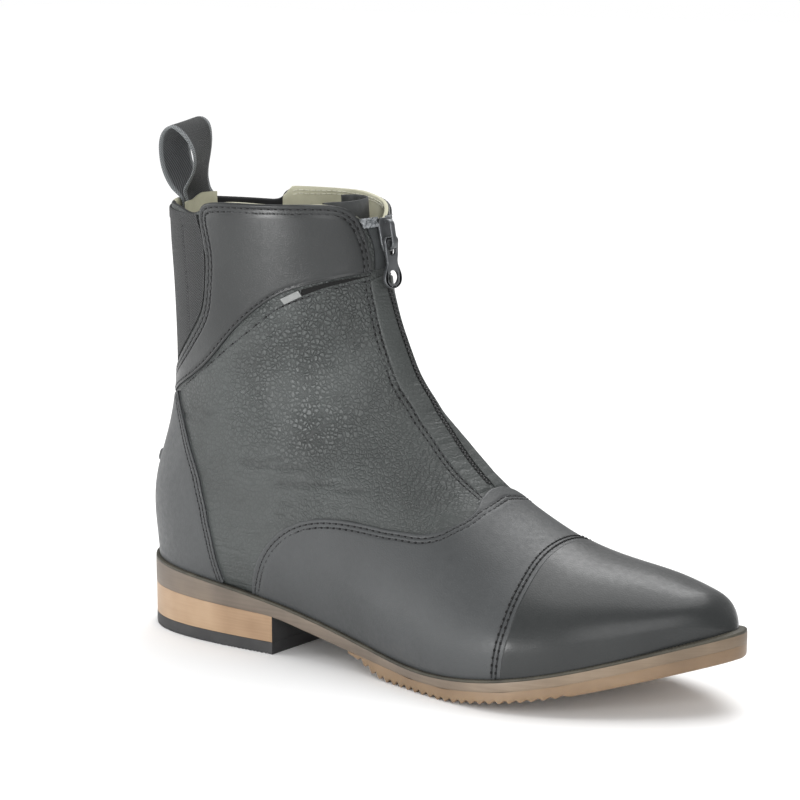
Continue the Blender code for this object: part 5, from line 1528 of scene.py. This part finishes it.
def build_tab(origin, down, side, out):
    """Pull tab: a flat outline with an eye and a hole, its rims rounded by rings set in from each loop."""
    half = half_outline(TAB_HALF, 60)
    a, b = EYE_LENGTH
    centre, radius = TAB_HOLE
    turn = np.linspace(0, 2 * np.pi, 48, endpoint=False)
    c, s = rounded_box(turn, (0.55, 0.55))
    loops = [
        np.vstack([half[::-1], half * (1, -1)]),
        np.stack([(a + b) / 2 + (b - a) / 2 * c, EYE_HALF * s], 1)[::-1],
        np.stack([centre + radius * np.cos(turn), radius * np.sin(turn)], 1)[::-1],
    ]
    r, top = TAB_ROUND, TAB_THICK / 2
    rows = [(r + 0.06, top), (r, top), (0.29 * r, top - 0.29 * r), (0, top - r)]
    rows += [(d, -h) for d, h in rows[::-1]]
    points = []
    faces = []
    caps = [[], []]
    for loop in loops:
        start = sum(len(p) for p in points)
        rings = [inset(loop, d) for d, _ in rows]
        points += [into_frame(ring, h, (origin, down, side, out)) for ring, (_, h) in zip(rings, rows)]
        faces.append(ring_faces(len(rows), len(loop)) + start)
        caps[0].append((rings[0], start))
        caps[1].append((rings[-1], start + (len(rows) - 1) * len(loop)))
    for cap, order in zip(caps, (1, -1)):
        index = np.concatenate([first + np.arange(len(ring)) for ring, first in cap])
        tris = tessellate_polygon([[(*p, 0) for p in ring] for ring, _ in cap])
        tris = index[np.array([t[::order] for t in tris])]
        faces.append(np.column_stack([tris, tris[:, 2]]))
    tab = piece("zip_pull_tab_metal", np.vstack(points), np.vstack(faces), ["metal"], ("zip_pull_tab",))
    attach(tab, "pull_tab")


def build_coil():
    """Zip coil in its groove: two rows of short rounded teeth, turned towards each other."""
    along = np.linspace(0.364, 0.955, 200)
    st, _, run, normal = even_path(np.stack([along, 0 * along], 1), COIL_PITCH)
    side = np.cross(normal, run)
    angle = np.linspace(0, 2 * np.pi, 8, endpoint=False)
    scale = np.array([0.25, 0.62, 0.62, 0.25])[:, None]
    a = np.repeat([-1.25, -0.95, 0.2, 0.55], 8)
    b = (scale * np.cos(angle)).ravel()
    c = (scale * np.sin(angle)).ravel()
    p = laid(st, COIL_OUT)
    teeth = []
    for turn, shift in ((1, 0.0), (-1, COIL_PITCH / 2)):
        teeth.append(bodies(p + run * shift, (side, run, normal), (turn * a, turn * b, c)))
    ends = np.array([[0, 1, 2, 3], [0, 3, 4, 7], [4, 5, 6, 7]])
    shape = np.vstack([ring_faces(4, 8), ends[:, ::-1], ends + 24])[:, ::-1]
    coil = loose_piece("zip_coil", np.concatenate(teeth).reshape(-1, 3), shape, "coil")
    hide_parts("zip_chain")


def build_tapes():
    """Zip tapes at the collar, and the crumpled film on their cut ends: a sum of slow waves."""
    tape = along_path(TAPE_EDGE, np.linspace(0, 1, 60))
    middle = np.stack([tape[:, 0], -0.5 / half_arc(tape[:, 0])], 1)
    grid = ruled(tape, middle, np.linspace(0, 1, 12))
    u = np.linspace(0, 1, 26)
    v = u[:, None]
    crumple = 0.63 * np.sin(9 * v + 4 * u) * np.sin(7 * u + 2 * v) + 0.35 * np.sin(21 * u + 6 * v)
    sheet = np.stack([0.9455 + 0.021 * v + 0 * u, -(0.016 + 0.052 * u + 0.012 * v * u)], 2)
    for side, turn in SIDES:
        strip, film = grid * (1, turn), sheet * (1, turn)
        slab("tape_cloth_" + side, laid(strip, -0.45), laid(strip, -1.2), ["tape"],
             replaces=("zip_tape_" + side,))
        slab("zip_film_" + side, laid(film, 0.75 + crumple), laid(film, 0.55 + crumple), ["film"])


def dress_insole():
    """The insole keeps its own solid and gets a pale leather finish."""
    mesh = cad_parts["insole"].data
    mesh.materials.clear()
    mesh.materials.append(LOOKS["insole"])


# The photograph's view: turned 36.5 degrees from the lateral side towards the toe, 11.4 degrees above level
AZIMUTH, RISE, DISTANCE = math.radians(36.5), math.radians(11.4), 1.12
LENS, SHIFT = 118.94, (-0.0425, 0.0575)
TARGET = (np.array([147.0, 0.0, 95.0]) - ORIGIN) / 1000
LIGHT_AIM = Vector((0.0, 0.0, 0.09))
SOFT_BOXES = [  # name, place in metres, size, power, share of highlights
    ("key_box", (-0.16, -1.35, 0.08), 0.3, 11, 1.0),
    ("side_box", (-1.3, -0.7, 0.4), 0.8, 7, 0.3),
    ("back_box", (-0.3, 0.8, 1.0), 0.6, 4, 1.0),
    ("fill_box", (0.9, -0.9, 0.6), 0.9, 8, 0.0),
]


def build_camera():
    """Camera on its sphere round the target; the lens and the shift give the photograph's framing."""
    back = Vector((math.sin(AZIMUTH) * math.cos(RISE), -math.cos(AZIMUTH) * math.cos(RISE), math.sin(RISE)))
    data = bpy.data.cameras.new("camera")
    data.sensor_width = 36
    data.lens = LENS
    data.shift_x, data.shift_y = SHIFT
    data.clip_end = 20
    obj = placed("camera", data)
    obj.location = Vector(TARGET) + back * DISTANCE
    obj.rotation_euler = back.to_track_quat("Z", "Y").to_euler()
    bpy.context.scene.camera = obj


def softbox(name, place, size, power, shine):
    """A square area light that faces the boot; shine is its share of highlights."""
    data = bpy.data.lights.new(name, "AREA")
    data.shape = "SQUARE"
    data.size = size
    data.energy = power
    data.specular_factor = shine
    obj = placed(name, data)
    obj.location = place
    obj.rotation_euler = (Vector(place) - LIGHT_AIM).to_track_quat("Z", "Y").to_euler()


def build_studio():
    """A white paper floor, an even white surround, a broad light from above and the soft boxes."""
    mesh = bpy.data.meshes.new("floor")
    mesh.from_pydata([(-6, -6, 0), (6, -6, 0), (6, 6, 0), (-6, 6, 0)], [], [(0, 1, 2, 3)])
    m, _, shader = new_material("white_paper", Roughness=0.9)
    shader.inputs["Base Color"].default_value = linear("#fafafa")
    mesh.materials.append(m)
    floor = placed("floor", mesh)
    world = bpy.data.worlds.new("studio")
    world.use_nodes = True
    tree = world.node_tree
    # the paper behind the boot is white; the room round it gives less light
    seen = node(tree, "ShaderNodeLightPath").outputs["Is Camera Ray"]
    strength = mapped(tree, seen, (0.0, 1.0), (0.45, 1.0))
    tree.links.new(strength, tree.nodes["Background"].inputs["Strength"])
    tree.nodes["Background"].inputs["Color"].default_value = (1, 1, 1, 1)
    bpy.context.scene.world = world
    overhead = bpy.data.lights.new("overhead", "SUN")
    overhead.energy = 2.2
    overhead.angle = math.radians(60)
    overhead.specular_factor = 0.25
    lamp = placed("overhead", overhead)
    lamp.rotation_euler = Vector((-0.1, 0.25, 1)).to_track_quat("Z", "Y").to_euler()
    for box in SOFT_BOXES:
        softbox(*box)
    bpy.context.scene.view_settings.view_transform = "Standard"


build_camera()
LINES = sewn_lines()
build_upper(LINES)
build_overlays(LINES)
build_gore()
build_sole()
build_loop()
build_guard()
build_spur_rest()
build_zip()
build_stitches(LINES)
dress_insole()
build_studio()
